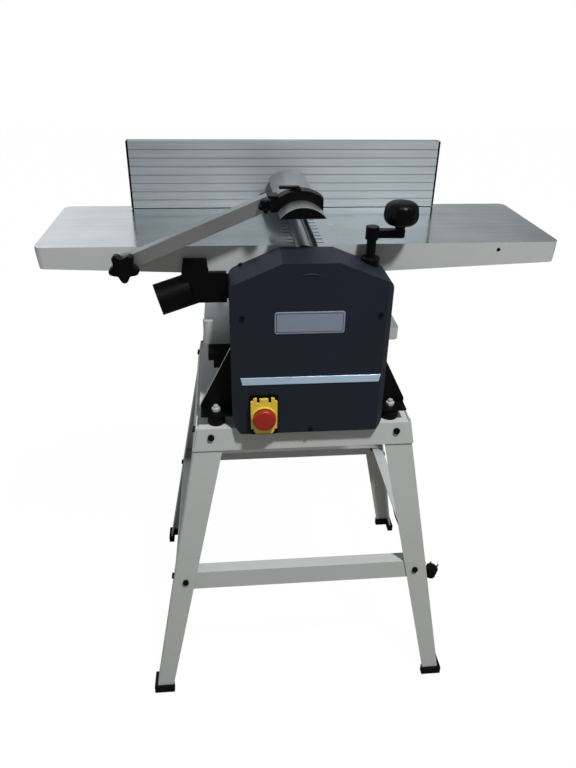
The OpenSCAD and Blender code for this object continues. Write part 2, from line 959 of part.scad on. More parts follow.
module toothed_y(x, z, r, y0, y1) {
    teeth = floor(2 * PI * r / gear_pitch);
    rod_y(x, z, r - tooth_h, y0, y1);
    for (i = [0 : teeth - 1])
        translate([x, y0, z]) rotate([0, i * 360 / teeth, 0])
            translate([-tooth_h / 2, 0, r - 2 * tooth_h]) cube([tooth_h, y1 - y0, 2 * tooth_h - fit]);
}

module cutter_block() {
    color("silver") difference() {
        union() {
            rod_y(0, cut_z, cutter_r, ft + cutter_end, bk - cutter_end);
            rod_y(0, cut_z, journal_r, pulley_y0, gear_y0 + gear_t);
            toothed_y(0, cut_z, pinion_r, gear_y0, gear_y0 + gear_t);
        }
        at_knives() translate([-knife_t / 2, ft, cutter_r - knife_depth])
            cube([knife_t + wedge_t, table_w, knife_depth + over]);
    }
}

module cutter_knives() {
    color("lightsteelblue") at_knives() {
        translate([-knife_t / 2, ft + cutter_end, cutter_r - knife_depth])
            cube([knife_t, table_w - 2 * cutter_end, knife_depth + knife_out]);
        translate([knife_t / 2, ft + cutter_end, cutter_r - knife_depth])
            cube([wedge_t, table_w - 2 * cutter_end, knife_depth - over]);
    }
}

module pulley_y(x, z, r, bore) {
    difference() {
        union() {
            rod_y(x, z, r, pulley_y0, pulley_y0 + pulley_w);
            rod_y(x, z, r + flange_extra, pulley_y0, pulley_y0 + flange_t);
            rod_y(x, z, r + flange_extra, pulley_y0 + pulley_w - flange_t, pulley_y0 + pulley_w);
        }
        if (bore > 0) rod_y(x, z, bore, pulley_y0 - over, pulley_y0 + pulley_w + over);
    }
}

module cutter_pulley() {
    color("dimgray") pulley_y(0, cut_z, cutter_pulley_r, journal_r);
}

module motor_pulley() {
    color("dimgray") {
        pulley_y(motor_x, motor_z, motor_pulley_r, 0);
        rod_y(motor_x, motor_z, motor_shaft_r, pulley_y0, motor_y0 + motor_foot_in);
    }
}

module motor() {
    color("#303236") difference() {
        union() {
            rod_y(motor_x, motor_z, motor_r, motor_y0, motor_y0 + motor_len);
            box_at([motor_x - motor_foot_half, motor_y0 + motor_foot_in, base_top],
                [motor_x + motor_foot_half, motor_y0 + motor_len - motor_foot_in, base_top + motor_foot_h]);
        }
        rod_y(motor_x, motor_z, motor_shaft_r + fit, motor_y0 - over, motor_y0 + motor_foot_in + clear);
    }
}

module belt_loop(extra) {
    hull() {
        translate([0, cut_z]) circle(cutter_pulley_r + extra, $fn = 32);
        translate([motor_x, motor_z]) circle(motor_pulley_r + extra, $fn = 32);
    }
}

module drive_belt() {
    mid = pulley_y0 + pulley_w / 2;
    color("#202020") plate_y(mid - belt_w / 2, mid + belt_w / 2) difference() {
        belt_loop(clear + belt_t);
        belt_loop(clear);
    }
}

module feed_roller(x) {
    color("gray") {
        rod_y(x, roller_z, roller_r, ft + cutter_end, bk - cutter_end);
        rod_y(x, roller_z, roller_journal_r, pf0, gear_y0 + gear_t);
        toothed_y(x, roller_z, roller_gear_r, gear_y0, gear_y0 + gear_t);
    }
}

module feed_roller_in() { feed_roller(-roller_x); }
module feed_roller_out() { feed_roller(roller_x); }

module kickback_fingers() {
    span = table_w - 2 * cutter_end - finger_w;
    color("dimgray") {
        rod_y(-finger_x, finger_z, finger_rod_r, pf0, pr1);
        for (i = [0 : finger_count - 1])
            translate([-finger_x - finger_t / 2, ft + cutter_end + i * span / (finger_count - 1), 0])
                translate([0, 0, finger_z - finger_len]) cube([finger_t, finger_w, finger_len]);
    }
}

module rear_cover() {
    lo = [-rear_cover_half, rear_cover_low];
    hi = [rear_cover_half, zt + rear_cover_proud];
    wall = [cover_wall, cover_wall];
    color("#2b2f3a") difference() {
        plate_y(pr1, pr1 + rear_cover_depth) round_rect(lo, hi, rear_cover_r);
        plate_y(pr1 - over, pr1 + rear_cover_depth - cover_wall)
            round_rect(lo + wall, hi - wall, rear_cover_r - cover_wall);
    }
}

// Thicknessing table and its lift

module lift_spindle(x, top) {
    rod_z(x, spindle_y, spindle_r, base_top + clear, top);
    rod_z(x, spindle_y, sprocket_r, sprocket_z, sprocket_z + sprocket_t);
}

module lift_spindle_right() {
    color("dimgray") lift_spindle(spindle_x, zt + crank_rise);
    color("black") rod_z(spindle_x, spindle_y, collar_r, zt - collar_drop, zt - collar_drop + collar_h);
}

module lift_spindle_left() {
    color("dimgray") lift_spindle(-spindle_x, tie_top - clear);
}

module chain_loop(r) {
    hull() for (x = [-spindle_x, spindle_x])
        translate([x, spindle_y]) circle(r, $fn = 32);
}

module lift_chain() {
    color("gray") translate([0, 0, sprocket_z]) linear_extrude(sprocket_t) difference() {
        chain_loop(sprocket_r + clear + chain_t);
        chain_loop(sprocket_r + clear);
    }
}

module thick_plan(inset) {
    round_rect([-thick_half + inset, thick_y0 + inset],
        [thick_half - inset, thick_y1 - inset], thick_r - inset);
}

module thickness_table() {
    low = thick_z - thick_edge;
    color("whitesmoke") difference() {
        union() {
            translate([0, 0, low]) linear_extrude(thick_edge) thick_plan(0);
            for (x = [-rear_column_x, rear_column_x])
                box_at([x - lug_half, thick_y1 - over, low], [x + lug_half, pr0 - over, low + lug_t]);
            intersection() {
                translate([0, 0, low]) linear_extrude(thick_edge + corner_h) thick_plan(0);
                box_at([-thick_half, thick_y0, thick_z - over],
                    [-thick_half + corner_w, thick_y0 + corner_d, thick_z + corner_h]);
            }
        }
        translate([0, 0, low - over]) linear_extrude(thick_edge - thick_top_t + over) thick_plan(thick_wall);
        for (x = [-rear_column_x, rear_column_x])
            rod_z(x, rear_column_y, rear_column_r + fit, low - over, low + lug_t + over);
    }
}

module lift_brackets() {
    top = thick_z - thick_edge;
    low = top - lug_t;
    y0 = spindle_y - lift_back;
    y1 = thick_y0 + thick_wall;
    color("#1c1c1e") for (side = [false, true])
        flip_x(side) difference() {
            union() {
                box_at([lift_x0, y0, low], [side ? lift_left : lift_right, y1, top]);
                rod_z(spindle_x, spindle_y, nut_boss_r, low - nut_boss_h, top);
                if (side) box_at([step_x0, y0, low - step_h], [step_x1, y1, low + over]);
            }
            rod_z(spindle_x, spindle_y, spindle_r + fit, low - nut_boss_h - over, top + over);
            rod_z(column_x, spindle_y, column_r + fit, low - over, top + over);
        }
}

// Planing tables, drawn to the right of the cutter

module table_profile(lip) {
    polygon([
        [lip, zt], [table_end, zt], [table_end - end_slope, zt - table_end_drop],
        [skirt_in, zt - table_mid_drop], [skirt_in, zt - table_top_t],
        [lip + lip_nose, zt - table_top_t], [lip + lip_nose, zt - lip_drop],
        [lip + lip_run, zt - lip_drop], [lip, zt - lip_t]
    ]);
}

module table_plan(lip) {
    r = table_corner_r;
    translate([lip, ft]) square([table_end - r - lip, table_w]);
    translate([table_end - r - over, ft + r]) square([r + over, table_w - 2 * r]);
    for (y = [ft + r, bk - r])
        translate([table_end - r, y]) circle(r);
}

module planing_table(lip, boss_low) {
    pitch = (table_w - 2 * slot_edge) / (lip_slots - 1);
    side_t = cutter_end - over;
    difference() {
        union() {
            intersection() {
                plate_y(ft, bk) table_profile(lip);
                translate([0, 0, zt - 2 * table_mid_drop])
                    linear_extrude(3 * table_mid_drop) table_plan(lip);
            }
            for (y = [ft, bk - side_t])
                box_at([lip + lip_nose - over, y, zt - lip_skirt_drop],
                    [skirt_in + over, y + side_t, zt - table_top_t / 2]);
        }
        box_at([skirt_in + table_skirt_t, ft + table_skirt_t, zt - 2 * table_mid_drop],
            [table_end - end_slope - table_skirt_t, bk - table_skirt_t, zt - table_top_t]);
        for (i = [0 : lip_slots - 1])
            box_at([lip - over, ft + slot_edge + i * pitch - slot_w / 2, zt - lip_drop / 2],
                [lip + slot_len, ft + slot_edge + i * pitch + slot_w / 2, zt + over]);
    }
    box_at([tie_x - boss_half, ft + boss_in, boss_low],
        [tie_x + boss_half, bk - boss_in, zt - table_top_t / 2]);
}

module infeed_table() {
    low = tie_top + cut_depth + clear;
    color("lightgray") difference() {
        planing_table(infeed_lip, low);
        for (y = [depth_y - guide_pin_y, depth_y + guide_pin_y])
            rod_z(tie_x, y, guide_pin_r + fit, low - over, tie_top + tie_h + cut_depth + clear);
        rod_z(depth_x, depth_y, depth_r + fit, low - over, low + depth_engage + cut_depth + clear);
        rod_y(face_hole_x, zt - face_hole_drop, face_hole_r, ft - over, ft + table_skirt_t + over);
        box_at([mark_x - mark_half, ft + mark_in, zt - mark_t],
            [mark_x + mark_half, ft + mark_in + mark_t, zt + over]);
    }
}

module outfeed_table() {
    color("lightgray") difference() {
        union() {
            flip_x(true) planing_table(outfeed_lip, tie_top);
            rod_y(-arm_x, arm_z, arm_boss_r, ft + table_skirt_t / 2, ft + arm_boss_len);
        }
        rod_y(-arm_x, arm_z, arm_stud_r + fit, ft - over, ft + arm_boss_len + over);
    }
}

module depth_knob() {
    top = tie_top - tie_h - depth_knob_gap;
    color("black") {
        rod_z(depth_x, depth_y, depth_r, top - depth_knob_h / 2, tie_top + cut_depth + depth_engage);
        translate([depth_x, depth_y, top - depth_knob_h])
            cylinder(r = depth_knob_r, h = depth_knob_h, $fn = depth_knob_sides);
    }
}

// Front cover: a flat top, sloping shoulders, bevelled front edges and an open back

module cover_outline(inset) {
    left = cover_mid - cover_half + inset;
    right = cover_mid + cover_half - inset;
    low = cover_low + inset;
    r = cover_corner_r - inset;
    a_left = atan(cover_slope);
    a_right = atan2(cover_shoulder, cover_half + cover_mid - cover_top_half);
    sr = cover_shoulder_r - inset;
    shoulder = cover_top - cover_shoulder;
    mid_left = [left + sr, shoulder - cover_shoulder_r * tan(45 - a_left / 2)];
    mid_right = [right - sr, shoulder - cover_shoulder_r * tan(45 - a_right / 2)];
    polygon(concat([
        [-cover_top_half + inset * tan(a_left / 2), cover_top - inset],
        [cover_top_half - inset * tan(a_right / 2), cover_top - inset],
        mid_right + sr * [sin(a_right), cos(a_right)], mid_right, mid_right + [sr, 0], [right, low + r],
        [right - r, low + r], [right - r, low]
    ], [for (i = [2, 1, 0]) [left, low] + cover_cut[i]], [
        mid_left - [sr, 0], mid_left, mid_left + sr * [-sin(a_left), cos(a_left)]
    ]));
    for (p = [mid_left, mid_right])
        translate(p) circle(sr);
    translate([right - r, low + r]) circle(r);
}

module cover_plan(inset) {
    left = cover_mid - cover_half + inset;
    right = cover_mid + cover_half - inset;
    front = cover_front + inset;
    back = cover_back + over;
    b = cover_bevel - inset * (2 - sqrt(2));
    polygon([
        [left, back], [left, front + b], [left + b, front],
        [right - b, front], [right, front + b], [right, back]
    ]);
}

// The cover's block as far back as y1, drawn smaller by the inset
module cover_block(inset, y1) {
    intersection() {
        plate_y(cover_front + inset, y1) cover_outline(inset);
        translate([0, 0, cover_low - over])
            linear_extrude(cover_top - cover_low + 2 * over) cover_plan(inset);
    }
}

module front_cover() {
    half = switch_w / 2 - switch_box_in;
    low = cover_low - over;
    color("#2b2f3a") difference() {
        cover_block(0, cover_back);
        cover_block(cover_wall, cover_back + over);
        box_at([-table_end, cover_rim_back, low], [table_end, cover_back + over, cover_rim_low]);
        box_at([-table_end, -stand_half_y - sheet_t - apron_gap, low],
            [table_end, cover_back, base_z + frame_foot_t + clear]);
        rod_z(spindle_x, spindle_y, collar_r + clear, zt - 2 * collar_drop, zt + over);
        box_at([-switch_x - half, cover_front - over, switch_low + switch_box_in],
            [-switch_x + half, cover_front + 2 * cover_wall, switch_low + switch_h - switch_box_in]);
        at_cover_screws() translate([0, 0, -2 * cover_wall]) cylinder(r = stud_r / 2, h = 3 * cover_wall);
    }
}

module at_cover_screws() {
    places = [
        [cover_mid - cover_screw_x, zt - cover_screw_drop],
        [cover_mid + cover_screw_x, zt - cover_screw_drop],
        [low_screw_x, cover_low + cover_screw_low]
    ];
    for (p = places)
        translate([p.x, cover_front, p.y]) rotate([90, 0, 0]) children();
    drop = (slope_screw_x - cover_top_half) * cover_slope;
    translate([-slope_screw_x, cover_back - slope_screw_in, cover_top - drop])
        rotate([0, -atan(cover_slope), 0]) children();
}

module trim_strip() {
    half = cover_half - strip_inset;
    x = cover_mid + strip_shift;
    low = zt - strip_drop - strip_h / 2;
    color("lightsteelblue") plate_y(cover_front - strip_t, cover_front) polygon([
        [x - half, low + strip_h], [x - half + strip_slant, low],
        [x + half - strip_slant, low], [x + half, low + strip_h]
    ]);
}

module cover_screws() {
    color("black") at_cover_screws() {
        cylinder(r = screw_r, h = screw_h);
        translate([0, 0, -2 * cover_wall]) cylinder(r = stud_r / 2, h = 2 * cover_wall);
    }
}

// Switch

switch_front = cover_front - switch_plate_t;
flap_back = switch_front - flap_gap;
flap_front = flap_back - flap_t;
flap_hinge_z = flap_low + flap_h - flap_hinge_r;

module switch_body() {
    x0 = -switch_x - switch_w / 2;
    x1 = -switch_x + switch_w / 2;
    edge = switch_box_in + clear;
    y0 = switch_front - over;
    color("#151515") difference() {
        union() {
            plate_y(switch_front, cover_front)
                round_rect([x0, switch_low], [x1, switch_low + switch_h], flap_wall);
            box_at([x0 + edge, cover_front - fit, switch_low + edge],
                [x1 - edge, cover_front + switch_depth, switch_low + switch_h - edge]);
            for (x = [-switch_x - ear_x, -switch_x + ear_x])
                box_at([x - ear_t / 2, flap_back - flap_hinge_r, flap_hinge_z - flap_hinge_r],
                    [x + ear_t / 2, switch_front + fit, flap_hinge_z + 2 * flap_hinge_r]);
        }
        rod_y(-switch_x, start_z, start_r + clear, y0, switch_front + start_h + start_travel);
        rod_y(-switch_x, stop_z, stop_stem_r + clear, y0, switch_front + stop_travel + clear);
        rod_x(flap_back, flap_hinge_z, flap_hinge_r / 2 + fit, x0, x1);
    }
}

module flap_outline() {
    n = len(flap_edge);
    polygon(concat(flap_edge, [for (i = [n - 1 : -1 : 0]) [-flap_edge[i].x, flap_edge[i].y]]));
}

module switch_flap() {
    color("gold") {
        difference() {
            union() {
                plate_y(flap_front, flap_back) translate([-switch_x, flap_low]) difference() {
                    flap_outline();
                    for (x = [-ear_x, ear_x])
                        translate([x - ear_t / 2 - clear, flap_h - 3 * flap_hinge_r])
                            square([ear_t + 2 * clear, flap_h]);
                }
                rod_x(flap_back, flap_hinge_z, flap_hinge_r / 2,
                    -switch_x - flap_pin_half, -switch_x + flap_pin_half);
            }
            rod_y(-switch_x, stop_z, stop_stem_r + fit, flap_front - over, flap_back + over);
        }
        difference() {
            rod_y(-switch_x, stop_z, stop_r + flap_wall / 2, flap_front - flap_wall, flap_front + fit);
            rod_y(-switch_x, stop_z, stop_r + clear, flap_front - 2 * flap_wall, flap_front + 2 * fit);
        }
    }
}

module stop_button() {
    y1 = flap_front - stop_travel;
    color("red") {
        rod_y(-switch_x, stop_z, stop_r, y1 - stop_h, y1 - clear);
        rod_y(-switch_x, stop_z, stop_stem_r, y1 - over, flap_back - clear);
    }
}

module start_button() {
    color("green") rod_y(-switch_x, start_z, start_r, switch_front - clear, switch_front + start_h);
}

// Crank

crank_x = spindle_x + crank_len;

module crank_arm() {
    z0 = zt + crank_rise;
    color("black") {
        rod_z(spindle_x, spindle_y, crank_hub_r, z0, z0 + crank_hub_h);
        box_at([spindle_x, spindle_y - crank_arm_w / 2, crank_arm_z],
            [crank_x, spindle_y + crank_arm_w / 2, crank_arm_z + crank_arm_t]);
        rod_z(crank_x, spindle_y, crank_end_r, crank_arm_z - fit, crank_arm_z + crank_arm_t);
        rod_z(crank_x, spindle_y, crank_pin_r, crank_arm_z, crank_knob_z + crank_knob_h / 2);
    }
}

module crank_knob() {
    r = crank_knob_r;
    h = crank_knob_h;
    rim = h * knob_rim_share;
    crown = h * knob_crown_share;
    arc = [
        for (a = [0 : 15 : 90])
            [r * (knob_waist_share + (1 - knob_waist_share) * cos(a)), crown + (h - crown) * sin(a)]
    ];
    color("black") translate([crank_x, spindle_y, crank_knob_z]) difference() {
        union() {
            rotate_extrude() polygon(concat([[0, 0], [r * knob_waist_share, 0], [r, rim]], arc, [[0, h]]));
            translate([0, 0, -crank_neck_h + clear]) cylinder(r = crank_neck_r, h = crank_neck_h);
        }
        for (i = [0 : flute_count - 1])
            rotate((i + 0.5) * 360 / flute_count) translate([r * flute_share, 0, -over])
                cylinder(r = flute_r, h = h + 2 * over);
        translate([0, 0, -crank_neck_h]) cylinder(r = crank_pin_r + fit, h = crank_neck_h + h / 2 + clear);
    }
}

// Fence

fence_low = zt + fence_gap;
fence_top = fence_low + fence_h;

module fence() {
    y1 = fence_y + fence_t;
    mid = fence_low + fence_h / 2;
    step = fence_h / (fence_grooves + 1);
    color("lightsteelblue") difference() {
        union() {
            box_at([-fence_left + cap_t, fence_y, fence_low], [fence_right - cap_t, y1, fence_top]);
            for (x = [-hinge_x, hinge_x]) {
                box_at([x - hinge_w / 2, y1 - over, hinge_z - hinge_r],
                    [x + hinge_w / 2, hinge_y, hinge_z + hinge_r]);
                rod_x(hinge_y, hinge_z, hinge_r, x - hinge_w / 2, x + hinge_w / 2);
            }
        }
        for (z = [fence_low + fence_wall, mid + fence_rib / 2])
            box_at([-fence_left, fence_y + fence_wall + groove_d, z],
                [fence_right, y1 - fence_wall, z + fence_h / 2 - fence_wall - fence_rib / 2]);
        for (i = [1 : fence_grooves])
            box_at([-fence_left, fence_y - over, fence_low + i * step - groove_w / 2],
                [fence_right, fence_y + groove_d, fence_low + i * step + groove_w / 2]);
        rod_x(hinge_y, hinge_z, hinge_pin_r + fit, -table_end, table_end);
    }
}

module fence_end_caps() {
    color("#151515") for (x = [-fence_left, fence_right - cap_t])
        box_at([x, fence_y, fence_low], [x + cap_t, fence_y + fence_t, fence_top]);
}

module fence_bracket() {
    z0 = zt - frame_top_drop;
    ear = hinge_w / 2 + clear;
    color("dimgray") {
        box_at([-bracket_half, pr0, z0], [bracket_half, pr1 - clear, z0 + bracket_t]);
        for (x = [-hinge_x, hinge_x]) {
            for (lo = [x - ear - hinge_ear_t, x + ear]) {
                box_at([lo, hinge_y - hinge_ear_r, z0 + clear],
                    [lo + hinge_ear_t, hinge_y + hinge_ear_r, hinge_z]);
                rod_x(hinge_y, hinge_z, hinge_ear_r, lo, lo + hinge_ear_t);
            }
            rod_x(hinge_y, hinge_z, hinge_pin_r, x - ear - hinge_ear_t, x + ear + hinge_ear_t);
        }
    }
}

// Cutter guard

module along_arm() {
    translate([-arm_x, 0, arm_z]) rotate([0, -arm_rise, 0]) children();
}

module guard_arm() {
    half = arm_side / 2;
    color("gainsboro") difference() {
        union() {
            along_arm() box_at([-arm_over, arm_y0, -half], [arm_len + arm_tip_over, arm_y1, half]);
            rod_y(-arm_x, arm_z, half, arm_y1 - over, ft - clear);
        }
        along_arm() box_at([half, arm_y0 + arm_wall, -half + arm_wall],
            [arm_len - half, arm_y1 - arm_wall, half - arm_wall]);
        rod_y(-arm_x, arm_z, arm_stud_r + fit, arm_y0 - over, ft + over);
        rod_y(tip_x, tip_z, tip_stud_r + fit, arm_y0 - over, arm_y1 + over);
    }
}

module arm_knob() {
    color("black") {
        translate([-arm_x, arm_y0 - clear, arm_z]) rotate([90, 0, 0]) star(arm_knob_r, knob_t, knob_lobes);
        rod_y(-arm_x, arm_z, arm_stud_r, arm_y0 - knob_t / 2, ft + arm_boss_len - clear);
    }
}

module clamp_knob() {
    color("black") {
        translate([tip_x, arm_y0 - clear, tip_z]) rotate([90, 0, 0])
            star(tip_knob_r, tip_knob_t, knob_lobes);
        rod_y(tip_x, tip_z, tip_stud_r, arm_y0 - tip_knob_t / 2, clamp_y0 + clamp_w / 2);
    }
}

module arch(r, low) {
    intersection() {
        translate([guard_x, guard_cz]) circle(r);
        translate([guard_x - 2 * r, low]) square([4 * r, 4 * r]);
    }
}

module guard_profile() {
    color("silver") plate_y(guard_y0, guard_y0 + guard_len) difference() {
        arch(guard_r, guard_edge);
        arch(guard_r - guard_wall, guard_edge - over);
    }
    color("#151515") plate_y(guard_y0, guard_y0 + end_cap_t) arch(guard_r - guard_wall / 2, guard_edge);
}

module guard_clamp() {
    inner = guard_r + clear;
    low = guard_edge - clamp_under;
    edge = guard_x - guard_half;
    y1 = clamp_y0 + clamp_w;
    mid = clamp_y0 + clamp_w / 2;
    color("#151515") {
        difference() {
            union() {
                plate_y(clamp_y0, y1) intersection() {
                    arch(inner + clamp_t, low);
                    translate([edge - clamp_reach, low]) square([2 * guard_half + clamp_reach, guard_r]);
                }
                plate_y(clamp_y0, y1) translate([tip_x, tip_z - clamp_ear_r])
                    square([edge - tip_x, 2 * clamp_ear_r]);
                rod_y(tip_x, tip_z, clamp_ear_r, clamp_y0, y1);
            }
            rod_y(tip_x, tip_z, tip_stud_r + fit, clamp_y0 - over, mid + clear);
            plate_y(clamp_y0 - over, y1 + over) arch(inner, low - over);
            box_at([lever_x - lever_len - clear, mid - lever_w / 2 - clear, lever_z - lever_r - clear],
                [lever_x + lever_r + clear, mid + lever_w / 2 + clear, lever_z + 2 * lever_r]);
        }
        lever_seat();
    }
}

lever_z = guard_cz + guard_r + clear + clamp_t + lever_lift;

// Two cheeks that hold the lever's pin
module lever_seat() {
    mid = clamp_y0 + clamp_w / 2;
    half = lever_w / 2 + clear;
    for (y = [mid - half - lever_t, mid + half])
        box_at([lever_x - lever_r, y, lever_z - lever_lift - lever_t],
            [lever_x + lever_r, y + lever_t, lever_z + lever_r / 2]);
    rod_y(lever_x, lever_z, lever_r / 2, mid - half - lever_t, mid + half + lever_t);
}

module clamp_lever() {
    mid = clamp_y0 + clamp_w / 2;
    color("black") difference() {
        union() {
            rod_y(lever_x, lever_z, lever_r, mid - lever_w / 2, mid + lever_w / 2);
            box_at([lever_x - lever_len, mid - lever_w / 2, lever_z - fit],
                [lever_x, mid + lever_w / 2, lever_z + lever_r]);
        }
        rod_y(lever_x, lever_z, lever_r / 2 + fit, mid - lever_w, mid + lever_w);
    }
}

// Dust hood

module nozzle(r, s0, s1) {
    translate([nozzle_x, nozzle_y, nozzle_z]) rotate([0, nozzle_tilt, 180 + nozzle_turn])
        rotate([0, 90, 0]) translate([0, 0, s0]) cylinder(r = r, h = s1 - s0);
}

// The outlet pipe: its free length, and a root that ends inside the duct
module outlet(r, inset) {
    nozzle(r, 0, nozzle_len + inset);
    intersection() {
        nozzle(r, inset - nozzle_root, over);
        box_at([-hood_left, hood_front + inset, hood_low - nozzle_r],
            [-hood_right - inset, hood_back, hood_top - inset]);
    }
}

module dust_hood() {
    w = hood_wall;
    lip_y1 = hood_front + hood_lip_w;
    color("black") difference() {
        union() {
            box_at([-hood_left, hood_front, hood_low], [-hood_right, hood_back, hood_top]);
            box_at([-hood_left, hood_front, hood_top - over], [-hood_right, lip_y1, hood_lip_top]);
            plate_y(hood_front, lip_y1) polygon([
                [-hood_left, hood_lip_top - over], [-hood_left + grip_w, hood_lip_top - over],
                [-hood_left + grip_w - grip_slope, grip_top], [-hood_left + grip_slope, grip_top]
            ]);
            box_at([-hood_right - over, scoop_y0, hood_low], [scoop_right, scoop_y1, scoop_top]);
            outlet(nozzle_r, 0);
        }
        box_at([-hood_left + w, hood_front + w, hood_low + w],
            [-hood_right - w, hood_back - w, hood_top - w]);
        box_at([-hood_right - 2 * w, scoop_y0 + w, hood_low + w],
            [scoop_right - w, hood_back - w, scoop_top - w]);
        box_at([-finger_x + 2 * finger_rod_r, scoop_y0 + w, hood_low + w],
            [scoop_right - w, scoop_y1 - w, scoop_top + over]);
        outlet(nozzle_r - w, w);
    }
}

// Mains lead: one smooth curve through the route's points, and a plug whose pins stand across the lead

module cord_gland() {
    color("black") {
        rod_y(gland_x, gland_z, gland_r - fit, pr0, pr1 + fit);
        rod_y(gland_x, gland_z, gland_flange_r, pr1, pr1 + gland_flange_t);
        translate([gland_x, pr1 + gland_flange_t, gland_z]) rotate([-90, 0, 0])
            cylinder(r1 = gland_r, r2 = gland_tip_r, h = gland_len - gland_flange_t);
    }
}

function unit(v) = v / norm(v);
function catmull(a, b, c, d, t) =
    0.5 * (2 * b + (c - a) * t + (2 * a - 5 * b + 4 * c - d) * t * t + (3 * b - a - 3 * c + d) * t * t * t);
last = len(route) - 1;
cord_path = [
    for (i = [0 : last - 1], k = [0 : cord_steps - 1 + (i == last - 1 ? 1 : 0)])
        catmull(route[max(i - 1, 0)], route[i], route[i + 1], route[min(i + 2, last)], k / cord_steps)
];
rings = len(cord_path);
cord_dir = [
    for (i = [0 : rings - 1]) unit(cord_path[min(i + 1, rings - 1)] - cord_path[max(i - 1, 0)])
];
function across(v, dir) = unit(v - (v * dir) * dir);
cord_side = [
    for (i = 0, n = [1, 0, 0]; i < rings; i = i + 1, n = across(n, cord_dir[min(i, rings - 1)])) n
];
function path_length(p, i) = i == 0 ? 0 : norm(p[i] - p[i - 1]) + path_length(p, i - 1);
echo(cord_length = path_length(cord_path, rings - 1));

module mains_cord() {
    n = cord_sides;
    points = [
        for (i = [0 : rings - 1], k = [0 : n - 1])
            let (u = across(cord_side[i], cord_dir[i]), v = cross(cord_dir[i], u))
            cord_path[i] + cord_d / 2 * (cos(k * 360 / n) * u + sin(k * 360 / n) * v)
    ];
    sides = [
        for (i = [0 : rings - 2], k = [0 : n - 1])
            let (a = i * n + k, b = i * n + (k + 1) % n)
            each [[a, b + n, b], [a, a + n, b + n]]
    ];
    start = [for (k = [1 : n - 2]) [0, k, k + 1]];
    finish = [for (k = [1 : n - 2]) [(rings - 1) * n, (rings - 1) * n + k + 1, (rings - 1) * n + k]];
    color("black") polyhedron(points, concat(sides, start, finish));
}

module plug() {
    mid = plug_boot + plug_r;
    translate(plug_at) rotate([0, 0, plug_turn]) {
        color("black") {
            rotate([0, 90, 0]) cylinder(r1 = cord_d / 2 + clear, r2 = plug_r / 2, h = plug_boot + over);
            rod_y(mid, 0, plug_r, -plug_len / 2, plug_len / 2);
        }
        color("silver") for (x = [mid - pin_gap, mid + pin_gap])
            rod_y(x, 0, pin_r, plug_len / 2 - over, plug_len / 2 + pin_len);
    }
}

leg_front_left();
leg_front_right();
leg_rear_left();
leg_rear_right();
foot_caps();
apron_front();
apron_rear();
apron_sides();
crossbar_front();
crossbar_rear();
crossbar_sides();
stand_bolts();
base_plate();
rubber_feet();
base_studs();
front_frame();
rear_frame();
tie_bars();
guide_columns();
cutter_bearings();
motor();
motor_pulley();
cutter_block();
cutter_knives();
cutter_pulley();
drive_belt();
feed_roller_in();
feed_roller_out();
kickback_fingers();
rear_cover();
lift_spindle_right();
lift_spindle_left();
lift_chain();
thickness_table();
lift_brackets();
infeed_table();
outfeed_table();
depth_knob();
front_cover();
trim_strip();
cover_screws();
switch_body();
switch_flap();
stop_button();
start_button();
crank_arm();
crank_knob();
fence();
fence_end_caps();
fence_bracket();
guard_arm();
arm_knob();
guard_clamp();
clamp_lever();
clamp_knob();
guard_profile();
dust_hood();
cord_gland();
mains_cord();
plug();
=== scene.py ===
"""Looks of a combination planer thicknesser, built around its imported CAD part.

Each operator dresses one group of the machine, and the stage operator sets the camera, floor and light.
"""

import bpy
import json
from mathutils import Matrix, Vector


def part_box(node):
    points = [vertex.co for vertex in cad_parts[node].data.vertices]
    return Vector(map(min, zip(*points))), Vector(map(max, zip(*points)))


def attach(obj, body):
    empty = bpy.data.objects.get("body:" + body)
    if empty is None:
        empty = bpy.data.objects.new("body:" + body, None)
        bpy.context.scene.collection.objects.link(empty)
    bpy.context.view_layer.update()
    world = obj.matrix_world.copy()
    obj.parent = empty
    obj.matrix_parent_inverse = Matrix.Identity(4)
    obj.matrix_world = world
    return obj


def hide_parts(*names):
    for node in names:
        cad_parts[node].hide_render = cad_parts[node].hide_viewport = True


bl_info = {
    "name": "Planer Thicknesser",
    "version": (1, 0, 0),
    "blender": (4, 5, 0),
    "location": "View3D > Sidebar > Planer",
    "description": "Dresses the planer thicknesser's CAD part for a studio picture",
    "category": "Object",
}

import json
import math

import bmesh
import bpy
import numpy as np
from mathutils import Matrix, Vector

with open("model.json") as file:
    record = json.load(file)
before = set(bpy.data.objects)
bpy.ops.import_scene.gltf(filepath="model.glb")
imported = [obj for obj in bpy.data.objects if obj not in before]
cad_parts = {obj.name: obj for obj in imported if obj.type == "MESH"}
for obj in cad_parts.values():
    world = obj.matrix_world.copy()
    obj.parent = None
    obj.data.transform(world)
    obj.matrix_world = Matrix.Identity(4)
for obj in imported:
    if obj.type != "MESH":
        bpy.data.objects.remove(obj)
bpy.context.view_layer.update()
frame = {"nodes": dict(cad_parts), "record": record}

MM = 0.001

# Camera: the photograph's width in pixels, and the sensor's width in millimetres
PHOTO_WIDTH = 576
SENSOR_WIDTH = 36.0

# Light: each ramp of the room has a span of the direction's share along an axis, and the values at its ends
ROOM_BEHIND = ((-0.25, 0.50), (0.82, 0.25))
ROOM_IN_FRONT = ((-1.0, -0.75), (1.8, 0.19))
ROOM_DEPTH = ((-0.2, 0.7), (0.0, 1.0))
FLOOR_GLOW = 1.05
FLOOR_WHITE_SHARE = 0.94
KEY_AIM = (0.0, 0.0, 0.75)

